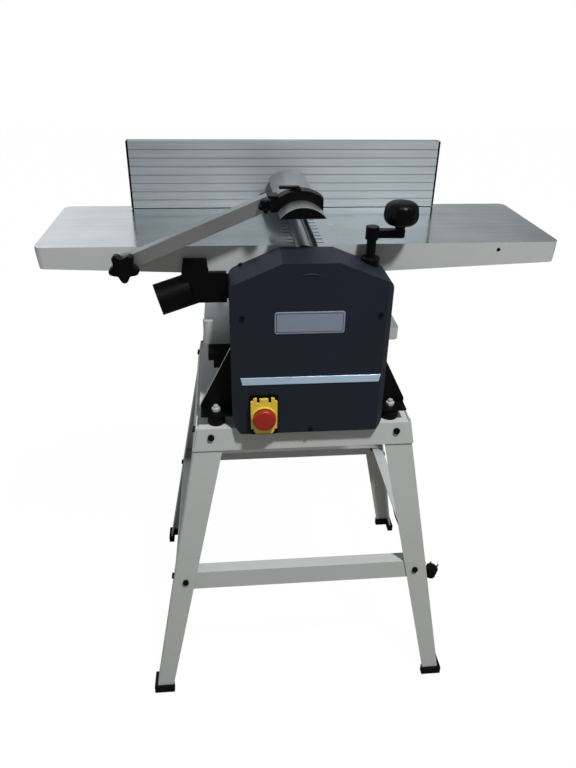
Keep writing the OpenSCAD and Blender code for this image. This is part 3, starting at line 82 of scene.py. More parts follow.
# Mains lead: its route from the gland to the plug, and the direction of the plug's pins in plan
LEAD_ROUTE_MM = (
    (150, 198, 691), (150, 214, 691), (154, 236, 678), (166, 258, 644), (184, 276, 590),
    (206, 288, 510), (228, 296, 420), (250, 298, 320), (274, 296, 224), (303, 290, 130),
    (321, 288, 72), (334, 282, 26), (338, 262, 7), (340, 234, 4), (342, 200, 4),
    (344, 164, 4), (341, 126, 4), (335, 98, 6), (334, 74, 12), (346, 58, 16),
)
PIN_WAY = (0.574, 0.819)

# Finishes: detail of the two noises, the span of them that is used, and settings that all finishes share
FINE_DETAIL = 4.0
COARSE_DETAIL = 3.0
NOISE_LOW = 0.35
NOISE_HIGH = 0.65
LEAST_ROUGHNESS = 0.02
COAT_ROUGHNESS = 0.15
BRUSH_TURN = 0.25
BUMP_STRENGTH = 0.6

# Meshes: points nearer than MERGE are one, and so are faces within FLAT_DEGREES; a face on the hull lies
# within HULL_GAP of it; faces over WIDE_AREA are shaded flat; FACING is the least cosine along an axis
MERGE = 0.005 * MM
FLAT_DEGREES = 0.4
HULL_GAP = 0.05 * MM
WIDE_AREA = 200.0 * MM * MM
FACING = 0.9


class PlanerSizes(bpy.types.PropertyGroup):
    """Sizes of the picture and of the added pieces."""

    camera_place: bpy.props.FloatVectorProperty(
        name="Camera place", description="Where the camera stands", subtype="TRANSLATION",
        default=(-0.1313, -1.1663, 1.28005))
    camera_pitch: bpy.props.FloatProperty(
        name="Camera pitch", description="How far the camera looks down", subtype="ANGLE",
        default=math.radians(29.56))
    camera_yaw: bpy.props.FloatProperty(
        name="Camera yaw", description="How far the camera looks to the right", subtype="ANGLE",
        default=math.radians(5.74))
    camera_roll: bpy.props.FloatProperty(
        name="Camera roll", description="How far the camera leans to the left", subtype="ANGLE",
        default=math.radians(1.08))
    camera_focus: bpy.props.FloatProperty(
        name="Camera focus", description="Focal length in pixels of the photograph", subtype="PIXEL",
        default=650.0)
    floor_side: bpy.props.FloatProperty(
        name="Floor side", description="Side of the square floor", unit="LENGTH", default=16.0)
    key_way: bpy.props.FloatVectorProperty(
        name="Key lamp direction", description="Direction from the machine to the key lamp",
        subtype="DIRECTION", default=(0.22, -0.45, 0.865))
    key_distance: bpy.props.FloatProperty(
        name="Key lamp distance", description="From the machine to the key lamp", unit="LENGTH", default=3.4)
    key_side: bpy.props.FloatProperty(
        name="Key lamp side", description="Side of the square key lamp", unit="LENGTH", default=0.30)
    key_power: bpy.props.FloatProperty(
        name="Key lamp power", description="Power of the key lamp", unit="POWER", default=125.0)
    lead_diameter: bpy.props.FloatProperty(
        name="Lead diameter", description="Diameter of the mains lead", unit="LENGTH", default=0.007)
    lead_length: bpy.props.FloatProperty(
        name="Lead length", description="Length of the mains lead", unit="LENGTH", default=0.970)
    face_hole_place: bpy.props.FloatProperty(
        name="Face hole place", description="Hole in the infeed table's face, right of the cutter",
        unit="LENGTH", default=0.338)
    face_hole_drop: bpy.props.FloatProperty(
        name="Face hole drop", description="Hole in the infeed table's face, below its top",
        unit="LENGTH", default=0.013)
    cover_edge: bpy.props.FloatProperty(
        name="Cover edge", description="Width of the front cover's softened edges",
        unit="LENGTH", default=0.005)
    plate_width: bpy.props.FloatProperty(
        name="Plate width", description="Width of the cover's plate", unit="LENGTH", default=0.116)
    plate_height: bpy.props.FloatProperty(
        name="Plate height", description="Height of the cover's plate", unit="LENGTH", default=0.039)
    plate_drop: bpy.props.FloatProperty(
        name="Plate drop", description="From the tables down to the plate's middle",
        unit="LENGTH", default=0.1015)
    scoop_half: bpy.props.FloatProperty(
        name="Scoop half width", description="Half the width of the finger scoop",
        unit="LENGTH", default=0.025)
    scoop_rise: bpy.props.FloatProperty(
        name="Scoop rise", description="Rise of the finger scoop's arc", unit="LENGTH", default=0.010)
    scoop_drop: bpy.props.FloatProperty(
        name="Scoop drop", description="From the cover's top down to the finger scoop",
        unit="LENGTH", default=0.018)


class PlanerColours(bpy.types.PropertyGroup):
    """Colours of the finishes and of the light, as linear red, green and blue."""

    paint: bpy.props.FloatVectorProperty(
        name="Light paint", description="Stand, base, rear frame and the tables' sides", subtype="COLOR",
        default=(0.475, 0.497, 0.500))
    slate: bpy.props.FloatVectorProperty(
        name="Slate plastic", description="Front cover", subtype="COLOR", default=(0.011, 0.0145, 0.027))
    black: bpy.props.FloatVectorProperty(
        name="Black plastic", description="Knobs, hood, clamp and, a little lighter, black paint and rubber",
        subtype="COLOR", default=(0.0024, 0.0024, 0.0028))
    milled: bpy.props.FloatVectorProperty(
        name="Milled metal", description="Tops of the planing tables", subtype="COLOR",
        default=(0.80, 0.845, 0.865))
    extruded: bpy.props.FloatVectorProperty(
        name="Extruded metal", description="Fence", subtype="COLOR", default=(0.355, 0.395, 0.42))
    satin: bpy.props.FloatVectorProperty(
        name="Satin metal", description="Guard profile, thicknessing table's top and zinc plate",
        subtype="COLOR", default=(0.52, 0.55, 0.56))
    tube: bpy.props.FloatVectorProperty(
        name="Tube metal", description="Guard arm", subtype="COLOR", default=(0.34, 0.355, 0.365))
    steel: bpy.props.FloatVectorProperty(
        name="Steel", description="Cutter, rollers, columns and castings", subtype="COLOR",
        default=(0.50, 0.49, 0.50))
    strip: bpy.props.FloatVectorProperty(
        name="Trim strip", description="Strip across the front cover", subtype="COLOR",
        default=(0.50, 0.70, 0.88))
    plate: bpy.props.FloatVectorProperty(
        name="Plate", description="Bare plate on the front cover", subtype="COLOR",
        default=(0.235, 0.28, 0.375))
    line: bpy.props.FloatVectorProperty(
        name="Plate line", description="Border line of the plate", subtype="COLOR",
        default=(0.03, 0.035, 0.05))
    yellow: bpy.props.FloatVectorProperty(
        name="Yellow plastic", description="Switch flap", subtype="COLOR", default=(0.70, 0.53, 0.06))
    red: bpy.props.FloatVectorProperty(
        name="Red plastic", description="Stop button", subtype="COLOR", default=(0.33, 0.014, 0.010))
    green: bpy.props.FloatVectorProperty(
        name="Green plastic", description="Start button", subtype="COLOR", default=(0.02, 0.20, 0.05))
    floor: bpy.props.FloatVectorProperty(
        name="Floor", description="Floor, as it lights the machine", subtype="COLOR",
        default=(0.31, 0.29, 0.26))
    room: bpy.props.FloatVectorProperty(
        name="Room", description="Tint of the room's light", subtype="COLOR", default=(0.95, 0.98, 1.0))
    key: bpy.props.FloatVectorProperty(
        name="Key lamp", description="Tint of the key lamp", subtype="COLOR", default=(1.0, 0.985, 0.965))


def sizes():
    """The scene's sizes."""
    return bpy.context.scene.planer_sizes


def colours():
    """The scene's colours."""
    return bpy.context.scene.planer_colours


# Finishes

GRAINS = {
    "even": ("Even Grain", (1.0, 1.0, 1.0)),
    "along_x": ("Grain Along X", (0.012, 1.0, 1.0)),
    "along_y": ("Grain Along Y", (1.0, 0.012, 1.0)),
}


def grain_group(name, stretch):
    """A node group with a fine and a coarse noise in the object's space, the fine one drawn out by stretch.

    Inputs Scale, Patches and Depth; outputs Level, the fine noise from 0 to 1, Patch, the coarse one, and
    Height, Depth times the fine noise.
    """
    if name in bpy.data.node_groups:
        return bpy.data.node_groups[name]
    group = bpy.data.node_groups.new(name, "ShaderNodeTree")
    for socket in ("Scale", "Patches", "Depth"):
        group.interface.new_socket(socket, in_out="INPUT", socket_type="NodeSocketFloat")
    for socket in ("Level", "Patch", "Height"):
        group.interface.new_socket(socket, in_out="OUTPUT", socket_type="NodeSocketFloat")
    nodes = group.nodes
    links = group.links
    inputs = nodes.new("NodeGroupInput")
    outputs = nodes.new("NodeGroupOutput")
    coords = nodes.new("ShaderNodeTexCoord")
    mapping = nodes.new("ShaderNodeMapping")
    mapping.inputs["Scale"].default_value = stretch
    fine = nodes.new("ShaderNodeTexNoise")
    fine.inputs["Detail"].default_value = FINE_DETAIL
    coarse = nodes.new("ShaderNodeTexNoise")
    coarse.inputs["Detail"].default_value = COARSE_DETAIL
    times = nodes.new("ShaderNodeMath")
    times.operation = "MULTIPLY"
    links.new(coords.outputs["Object"], mapping.inputs["Vector"])
    links.new(mapping.outputs["Vector"], fine.inputs["Vector"])
    links.new(coords.outputs["Object"], coarse.inputs["Vector"])
    links.new(inputs.outputs["Scale"], fine.inputs["Scale"])
    links.new(inputs.outputs["Patches"], coarse.inputs["Scale"])
    links.new(fine.outputs["Fac"], times.inputs[0])
    links.new(inputs.outputs["Depth"], times.inputs[1])
    links.new(fine.outputs["Fac"], outputs.inputs["Level"])
    links.new(coarse.outputs["Fac"], outputs.inputs["Patch"])
    links.new(times.outputs["Value"], outputs.inputs["Height"])
    return group


def finish(name, colour, rough, metal=0.0, coat=0.0, gloss=0.5, grain="even", scale=200.0, patches=6.0,
        depth=0.0, spread=0.08, shade=0.9, brushed=0.0):
    """A procedural material: one colour, with a fine grain and coarse patches.

    The tone runs from shade times the colour to the colour, by the mean of the patches and the grain. The
    roughness runs over rough plus or minus spread by the same mean, and the grain gives the height. brushed
    spreads the gloss across marks that run along X.
    """
    if name in bpy.data.materials:
        return bpy.data.materials[name]
    material = bpy.data.materials.new(name)
    material.use_nodes = True
    nodes = material.node_tree.nodes
    links = material.node_tree.links
    shader = nodes["Principled BSDF"]
    shader.inputs["Metallic"].default_value = metal
    shader.inputs["Coat Weight"].default_value = coat
    shader.inputs["Coat Roughness"].default_value = COAT_ROUGHNESS
    shader.inputs["Specular IOR Level"].default_value = gloss
    shader.inputs["Anisotropic"].default_value = brushed
    shader.inputs["Anisotropic Rotation"].default_value = BRUSH_TURN
    title, stretch = GRAINS[grain]
    effect = nodes.new("ShaderNodeGroup")
    effect.node_tree = grain_group(title, stretch)
    effect.inputs["Scale"].default_value = scale
    effect.inputs["Patches"].default_value = patches
    effect.inputs["Depth"].default_value = depth
    both = nodes.new("ShaderNodeMix")
    both.inputs["Factor"].default_value = 0.5
    links.new(effect.outputs["Level"], both.inputs["A"])
    links.new(effect.outputs["Patch"], both.inputs["B"])
    level = nodes.new("ShaderNodeMapRange")
    level.inputs["From Min"].default_value = NOISE_LOW
    level.inputs["From Max"].default_value = NOISE_HIGH
    links.new(both.outputs["Result"], level.inputs["Value"])
    tone = nodes.new("ShaderNodeMix")
    tone.data_type = "RGBA"
    tone.inputs["A"].default_value = (*scaled(colour, shade), 1.0)
    tone.inputs["B"].default_value = (*colour, 1.0)
    links.new(level.outputs["Result"], tone.inputs["Factor"])
    links.new(tone.outputs["Result"], shader.inputs["Base Color"])
    dull = nodes.new("ShaderNodeMapRange")
    dull.inputs["To Min"].default_value = max(rough - spread, LEAST_ROUGHNESS)
    dull.inputs["To Max"].default_value = rough + spread
    links.new(level.outputs["Result"], dull.inputs["Value"])
    links.new(dull.outputs["Result"], shader.inputs["Roughness"])
    if depth > 0.0:
        bump = nodes.new("ShaderNodeBump")
        bump.inputs["Strength"].default_value = BUMP_STRENGTH
        bump.inputs["Distance"].default_value = 1.0
        links.new(effect.outputs["Height"], bump.inputs["Height"])
        links.new(bump.outputs["Normal"], shader.inputs["Normal"])
    return material


def scaled(colour, times):
    """A colour with each of its parts multiplied."""
    return [times * part for part in colour]


def paint():
    """Light grey paint on sheet metal, with a faint orange peel and uneven dust."""
    return finish("Light Paint", colours().paint, rough=0.45, gloss=0.4, scale=380.0, patches=5.0,
        depth=0.00005, spread=0.07, shade=0.93)


def slate():
    """The cover's fine-grained dark plastic."""
    return finish("Slate Plastic", colours().slate, rough=0.50, gloss=0.24, scale=1100.0, patches=9.0,
        depth=0.00006, spread=0.05, shade=0.85)


def black():
    """Moulded black plastic with a faint grain."""
    return finish("Black Plastic", colours().black, rough=0.36, gloss=0.10, scale=800.0, patches=14.0,
        depth=0.00005, spread=0.07, shade=0.75)


def black_paint():
    """Semi-matt black paint on metal."""
    return finish("Black Paint", scaled(colours().black, 1.3), rough=0.42, gloss=0.10, scale=260.0,
        patches=8.0, depth=0.00004, spread=0.07, shade=0.75)


def rubber():
    """Dull black rubber."""
    return finish("Rubber", scaled(colours().black, 1.2), rough=0.66, gloss=0.10, scale=500.0,
        patches=10.0, depth=0.0001, spread=0.1, shade=0.75)


def milled():
    """Ground aluminium, nearly a mirror, with faint marks along the feed and darker patches: smears and
    painted reflection.
    """
    # The coarse darker patches are partly smears and partly a painted reflection of cloudy room light.
    return finish("Milled Metal", colours().milled, rough=0.17, metal=1.0, grain="along_x", scale=300.0,
        patches=11.0, spread=0.07, shade=0.78)


def ground():
    """The thicknessing table's duller ground top."""
    return finish("Ground Metal", colours().satin, rough=0.36, metal=0.7, grain="along_x", scale=260.0,
        patches=7.0)


def extruded():
    """Extruded aluminium, whose die marks run along X."""
    return finish("Extruded Metal", colours().extruded, rough=0.56, metal=0.6, grain="along_x", scale=420.0,
        patches=5.0, spread=0.05, shade=0.80, brushed=0.5)


def satin():
    """Anodised aluminium of the guard, with marks along Y."""
    return finish("Satin Metal", colours().satin, rough=0.42, metal=1.0, grain="along_y", scale=420.0,
        patches=8.0, depth=0.00002, spread=0.06)


def tube():
    """Grey metallic finish of the guard's arm."""
    return finish("Tube Metal", colours().tube, rough=0.44, metal=0.85, scale=300.0, patches=8.0,
        depth=0.00003, spread=0.06)


def steel():
    """Machined steel."""
    return finish("Steel", colours().steel, rough=0.30, metal=1.0, grain="along_y", scale=240.0,
        patches=10.0, spread=0.06)


def zinc():
    """Bright zinc plate, a little dull."""
    return finish("Zinc Plate", colours().satin, rough=0.50, metal=0.25, scale=300.0, patches=10.0, shade=0.8)


def cast():
    """Dull cast metal."""
    return finish("Cast Metal", colours().steel, rough=0.55, metal=0.8, scale=250.0, patches=12.0,
        depth=0.0001, spread=0.1, shade=0.7)


def trim():
    """The bright trim strip under its clear coat."""
    return finish("Trim Strip", colours().strip, rough=0.28, metal=0.35, coat=0.4, grain="along_x",
        scale=500.0, patches=9.0, shade=0.85)


def plate_metal():
    """The plate's grey-blue metal."""
    return finish("Plate", colours().plate, rough=0.36, metal=0.2, grain="along_x", scale=400.0,
        patches=20.0, depth=0.00002)


def plate_line():
    """The dark line along the plate's border."""
    return finish("Plate Line", colours().line, rough=0.45, scale=400.0, shade=0.8)


def yellow():
    """The flap's yellow plastic."""
    return finish("Yellow Plastic", colours().yellow, rough=0.42, gloss=0.4, scale=300.0, patches=20.0,
        spread=0.05, shade=0.93)


def green():
    """The start button's green plastic."""
    return finish("Green Plastic", colours().green, rough=0.40, scale=300.0, spread=0.05)


def red():
    """The stop button's red plastic."""
    return finish("Red Plastic", colours().red, rough=0.42, gloss=0.4, scale=300.0, patches=20.0, spread=0.05)


# Shapes

def node_body(node):
    """The name of the body that a CAD node belongs to."""
    for body, members in frame["record"]["behaviour"]["bodies"].items():
        if node in members:
            return body
    raise ValueError("no body holds " + node)


def middle(node):
    """The middle of a CAD node's box."""
    low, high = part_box(node)
    return (low + high) / 2.0


def values(items, name, width=1, kind=float):
    """One value, or a row of width values, of each point, edge or face of a mesh."""
    flat = np.zeros(len(items) * width, dtype=kind)
    items.foreach_get(name, flat)
    return flat if width == 1 else flat.reshape(-1, width)


def settle(mesh, angle):
    """Merges doubles, turns the faces outwards and shades smooth up to an angle in degrees."""
    work = bmesh.new()
    work.from_mesh(mesh)
    bmesh.ops.remove_doubles(work, verts=work.verts, dist=MERGE)
    bmesh.ops.recalc_face_normals(work, faces=work.faces)
    work.to_mesh(mesh)
    work.free()
    mesh.polygons.foreach_set("use_smooth", np.ones(len(mesh.polygons), dtype=bool))
    mesh.set_sharp_from_angle(angle=math.radians(angle))


def enter(piece, node, replace=True):
    """Links a piece, which rides with the node's body, and may stand for the node."""
    bpy.context.scene.collection.objects.link(piece)
    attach(piece, node_body(node))
    if replace:
        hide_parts(node)
    return piece


def ring_faces(m, n):
    """Quads between m closed rings of n points, and an end face on the first and the last ring."""
    index = np.arange(m * n).reshape(m, n)
    ahead = np.roll(index, -1, axis=1)
    quads = np.stack([index[:-1], ahead[:-1], ahead[1:], index[1:]], axis=-1).reshape(-1, 4).tolist()
    return quads + [index[0][::-1].tolist(), index[-1].tolist()]


def add_rings(name, rings, node, materials, replace=True, angle=35.0, bands=None):
    """Makes a closed piece from rings of points; bands gives the material of each band between two rings."""
    m, n = rings.shape[:2]
    mesh = bpy.data.meshes.new(name)
    mesh.from_pydata(rings.reshape(-1, 3).tolist(), [], ring_faces(m, n))
    for material in materials:
        mesh.materials.append(material)
    if bands is not None:
        index = np.append(np.repeat(bands, n), [0, 0])
        mesh.polygons.foreach_set("material_index", index.astype(np.int32))
    settle(mesh, angle)
    return enter(bpy.data.objects.new(name, mesh), node, replace)


def lathe(profile, turns, lobes=0, depth=0.0, power=1.0, ease=None):
    """Rings of a turned shape about Z, from a profile of (r, z) in metres.

    A point is (r w cos a, r w sin a, z) with w = 1 - e depth (0.5 - 0.5 cos(lobes a))^power. e runs from 0 to
    1 as the radius grows over the two shares of the largest radius in ease, so that the lobes fade inwards.
    """
    r, z = np.asarray(profile, dtype=float).T
    a = np.linspace(0.0, 2.0 * np.pi, turns, endpoint=False)
    e = np.zeros_like(r)
    if ease is not None:
        e = np.clip((r / r.max() - ease[0]) / (ease[1] - ease[0]), 0.0, 1.0)
    w = 1.0 - depth * e[:, None] * ((0.5 - 0.5 * np.cos(lobes * a)) ** power)[None, :]
    x = r[:, None] * w * np.cos(a)[None, :]
    y = r[:, None] * w * np.sin(a)[None, :]
    return np.stack([x, y, np.broadcast_to(z[:, None], x.shape)], axis=-1)


def quarter(start, end, steps):
    """(r, z) points of a quarter of an ellipse that leaves start along r and reaches end along z.

    They are (r0 + (r1 - r0) sin t, z0 + (z1 - z0) (1 - cos t)), with t from 0 to a right angle.
    """
    t = np.linspace(0.0, np.pi / 2.0, steps)
    (r0, z0), (r1, z1) = start, end
    return list(zip(r0 + (r1 - r0) * np.sin(t), z0 + (z1 - z0) * (1.0 - np.cos(t))))


def shoulder(edge, inset, rise, steps, start=0.0):
    """(r, z) points of a quarter of an ellipse that leaves edge along z and closes in.

    They are (r - inset (1 - cos a), z + rise sin a), with a from start to a right angle.
    """
    a = np.linspace(start, np.pi / 2.0, steps)
    r, z = edge
    return list(zip(r - inset * (1.0 - np.cos(a)), z + rise * np.sin(a)))


def rounded(corners, radius, inset, steps):
    """An outline with round corners, moved inwards by inset.

    Each side moves along its inward normal, the sides are crossed again, and each corner becomes an arc of
    the radius less the inset. corners run anticlockwise; the result has steps points for each corner.
    """
    least_radius = 0.2 * MM
    p = np.asarray(corners, dtype=float)
    r = max(radius - inset, least_radius)
    d = np.roll(p, -1, axis=0) - p
    d /= np.linalg.norm(d, axis=1)[:, None]
    normal = np.stack([-d[:, 1], d[:, 0]], axis=1)
    before = np.roll(d, 1, axis=0)
    n0 = np.roll(normal, 1, axis=0)
    turn = np.arctan2(before[:, 0] * d[:, 1] - before[:, 1] * d[:, 0], (before * d).sum(axis=1))
    mid = (n0 + normal) / (1.0 + (n0 * normal).sum(axis=1))[:, None]
    centre = p + mid * (inset + r)
    start = np.arctan2(-n0[:, 1], -n0[:, 0])
    a = start[:, None] + turn[:, None] * np.linspace(0.0, 1.0, steps)[None, :]
    arc = np.stack([np.cos(a), np.sin(a)], axis=-1) * r + centre[:, None, :]
    return arc.reshape(-1, 2)


def placed(points, origin, axis):
    """Turns points made about Z so that Z points along axis, and moves them to origin."""
    turn = np.array(Vector((0.0, 0.0, 1.0)).rotation_difference(Vector(axis)).to_matrix())
    return points @ turn.T + np.asarray(origin, dtype=float)


def hull_edges(mesh, least):
    """Two marks for each edge whose faces meet at more than least degrees: on the convex hull, and elsewhere.

    A face with normal n and centre c lies on the hull if n.c is the largest n.v of all points v. Faces that
    look back are left out of the hull.
    """
    backward = 0.5
    normals = values(mesh.polygons, "normal", 3)
    centres = values(mesh.polygons, "center", 3)
    points = values(mesh.vertices, "co", 3)
    totals = values(mesh.polygons, "loop_total", kind=np.int32)
    edges = values(mesh.loops, "edge_index", kind=np.int32)
    support = (normals @ points.T).max(axis=1)
    outer = ((normals * centres).sum(axis=1) > support - HULL_GAP) & (normals[:, 1] < backward)
    order = np.argsort(edges, kind="stable")
    owners = np.repeat(np.arange(len(totals)), totals)[order]
    every = np.arange(len(mesh.edges))
    first = owners[np.searchsorted(edges[order], every)]
    second = owners[np.searchsorted(edges[order], every, side="right") - 1]
    sharp = (normals[first] * normals[second]).sum(axis=1) < math.cos(math.radians(least))
    soft = outer[first] & outer[second] & sharp
    return soft, sharp & ~soft


def wide_faces(mesh):
    """True for each face that looks straight along Y or is larger than WIDE_AREA."""
    straight = 0.9999
    along = np.abs(values(mesh.polygons, "normal", 3)[:, 1])
    return (values(mesh.polygons, "area") > WIDE_AREA) | (along > straight)


def softened(node, edge_mm, material, segments=2, angle=30.0, pick=None, hull=False):
    """A copy of a CAD node with softened edges, which replaces it.

    edge_mm is the edges' width in millimetres, and edges under angle degrees stay as they are.
    pick(centres, normals) gives each face's index into material where that is a list. With hull, only the
    edges of the convex hull are softened, the other edges stay sharp, and wide faces are shaded flat.
    """
    work = bmesh.new()
    work.from_mesh(frame["nodes"][node].data)
    bmesh.ops.remove_doubles(work, verts=work.verts, dist=MERGE)
    bmesh.ops.dissolve_limit(work, angle_limit=math.radians(FLAT_DEGREES), verts=work.verts, edges=work.edges)
    mesh = bpy.data.meshes.new(node + "_soft")
    work.to_mesh(mesh)
    work.free()
    custom = mesh.attributes.get("custom_normal")
    if custom is not None:
        mesh.attributes.remove(custom)
    count = len(mesh.polygons)
    mesh.polygons.foreach_set("use_smooth", np.ones(count, dtype=bool))
    mesh.materials.clear()
    for each in material if isinstance(material, list) else [material]:
        mesh.materials.append(each)
    index = np.zeros(count, dtype=np.int32)
    if pick is not None:
        centres = values(mesh.polygons, "center", 3)
        normals = values(mesh.polygons, "normal", 3)
        index = pick(centres, normals).astype(np.int32)
    mesh.polygons.foreach_set("material_index", index)
    piece = bpy.data.objects.new(node + "_soft", mesh)
    bevel = piece.modifiers.new("Soft edges", "BEVEL")
    bevel.width = edge_mm * MM
    bevel.segments = segments
    bevel.use_clamp_overlap = True
    bevel.limit_method = "ANGLE"
    bevel.angle_limit = math.radians(angle)
    if hull:
        soft, hard = hull_edges(mesh, angle)
        mesh.attributes.new("bevel_weight_edge", "FLOAT", "EDGE")
        mesh.attributes["bevel_weight_edge"].data.foreach_set("value", soft.astype(np.float32))
        mesh.edges.foreach_set("use_edge_sharp", hard)
        mesh.polygons.foreach_set("use_smooth", ~wide_faces(mesh))
        bevel.limit_method = "WEIGHT"
    else:
        weigh = piece.modifiers.new("Even shading", "WEIGHTED_NORMAL")
        weigh.keep_sharp = True
    return enter(piece, node)


def plain(node, material):
    """Gives a CAD node its finish as it is."""
    mesh = frame["nodes"][node].data
    mesh.materials.clear()
    mesh.materials.append(material)


# Operators

class PLANER_OT_stage(bpy.types.Operator):
    """Sets the camera at the photograph's angle, the pale floor and the light."""

    bl_idname = "planer.stage"
    bl_label = "Stage"

    def execute(self, context):
        self.camera(context)
        self.floor(context)
        self.room(context)
        self.key(context)
        return {"FINISHED"}

    def camera(self, context):
        """Looks along yaw and pitch, and rolls about that line."""
        s = sizes()
        pitch, yaw, roll = s.camera_pitch, s.camera_yaw, s.camera_roll
        level = math.cos(pitch)
        ahead = Vector((math.sin(yaw) * level, math.cos(yaw) * level, -math.sin(pitch)))
        right = Vector((math.cos(yaw), -math.sin(yaw), 0.0))
        above = right.cross(ahead)
        across = right * math.cos(roll) + above * math.sin(roll)
        upward = above * math.cos(roll) - right * math.sin(roll)
        data = bpy.data.cameras.new("Photo camera")
        data.sensor_fit = "HORIZONTAL"
        data.sensor_width = SENSOR_WIDTH
        data.lens = s.camera_focus / PHOTO_WIDTH * SENSOR_WIDTH
        camera = bpy.data.objects.new("Photo camera", data)
        turn = Matrix((across, upward, -ahead)).transposed().to_4x4()
        camera.matrix_world = Matrix.Translation(s.camera_place) @ turn
        context.scene.collection.objects.link(camera)
        context.scene.camera = camera

    def floor(self, context):
        """A wide floor that the camera sees as white, and that gives a little light back to the machine."""
        half = sizes().floor_side / 2.0
        corners = [(-half, -half, 0.0), (half, -half, 0.0), (half, half, 0.0), (-half, half, 0.0)]
        mesh = bpy.data.meshes.new("Floor")
        mesh.from_pydata(corners, [], [(0, 1, 2, 3)])
        floor = bpy.data.objects.new("Floor", mesh)
        context.scene.collection.objects.link(floor)
        material = bpy.data.materials.new("Pale Floor")
        material.use_nodes = True
        nodes = material.node_tree.nodes
        links = material.node_tree.links
        nodes.clear()
        diffuse = nodes.new("ShaderNodeBsdfDiffuse")
        diffuse.inputs["Color"].default_value = (*colours().floor, 1.0)
        glow = nodes.new("ShaderNodeEmission")
        glow.inputs["Strength"].default_value = FLOOR_GLOW
        path = nodes.new("ShaderNodeLightPath")
        share = nodes.new("ShaderNodeMath")
        share.operation = "MULTIPLY"
        share.inputs[1].default_value = FLOOR_WHITE_SHARE
        mix = nodes.new("ShaderNodeMixShader")
        out = nodes.new("ShaderNodeOutputMaterial")
        links.new(path.outputs["Is Camera Ray"], share.inputs[0])
        links.new(share.outputs["Value"], mix.inputs["Fac"])
        links.new(diffuse.outputs["BSDF"], mix.inputs[1])
        links.new(glow.outputs["Emission"], mix.inputs[2])
        links.new(mix.outputs["Shader"], out.inputs["Surface"])
        mesh.materials.append(material)

    def room(self, context):
        """A white backdrop, and a dim room for everything else: brighter behind and on the left."""
        context.scene.view_settings.view_transform = "Standard"
        world = bpy.data.worlds.new("Studio")
        world.use_nodes = True
        nodes = world.node_tree.nodes
        links = world.node_tree.links
        dim = nodes["Background"]
        dim.inputs["Color"].default_value = (*colours().room, 1.0)
        coords = nodes.new("ShaderNodeTexCoord")
        parts = nodes.new("ShaderNodeSeparateXYZ")
        links.new(coords.outputs["Generated"], parts.inputs["Vector"])
        behind = self.ramp(nodes, links, parts.outputs["X"], *ROOM_BEHIND)
        depth = self.ramp(nodes, links, parts.outputs["Y"], *ROOM_DEPTH)
        in_front = self.ramp(nodes, links, parts.outputs["X"], *ROOM_IN_FRONT)
        level = nodes.new("ShaderNodeMix")
        links.new(depth, level.inputs["Factor"])
        links.new(in_front, level.inputs["A"])
        links.new(behind, level.inputs["B"])
        links.new(level.outputs["Result"], dim.inputs["Strength"])
        white = nodes.new("ShaderNodeBackground")
        white.inputs["Color"].default_value = (1.0, 1.0, 1.0, 1.0)
        path = nodes.new("ShaderNodeLightPath")
        mix = nodes.new("ShaderNodeMixShader")
        links.new(path.outputs["Is Camera Ray"], mix.inputs["Fac"])
        links.new(dim.outputs["Background"], mix.inputs[1])
        links.new(white.outputs["Background"], mix.inputs[2])
        links.new(mix.outputs["Shader"], nodes["World Output"].inputs["Surface"])
        context.scene.world = world

    def ramp(self, nodes, links, value, span, result):
        """A straight ramp of value over span, from the first to the second result."""
        step = nodes.new("ShaderNodeMapRange")
        step.inputs["From Min"].default_value, step.inputs["From Max"].default_value = span
        step.inputs["To Min"].default_value, step.inputs["To Max"].default_value = result
        links.new(value, step.inputs["Value"])
        return step.outputs["Result"]

    def key(self, context):
        """One lamp high above, in front and a little to the right."""
        s = sizes()
        aim = Vector(KEY_AIM)
        data = bpy.data.lights.new("Key", "AREA")
        data.energy = s.key_power
        data.size = s.key_side
        data.color = colours().key
        lamp = bpy.data.objects.new("Key", data)
        lamp.location = aim + Vector(s.key_way).normalized() * s.key_distance
        lamp.rotation_euler = (aim - lamp.location).to_track_quat("-Z", "Y").to_euler()
        context.scene.collection.objects.link(lamp)


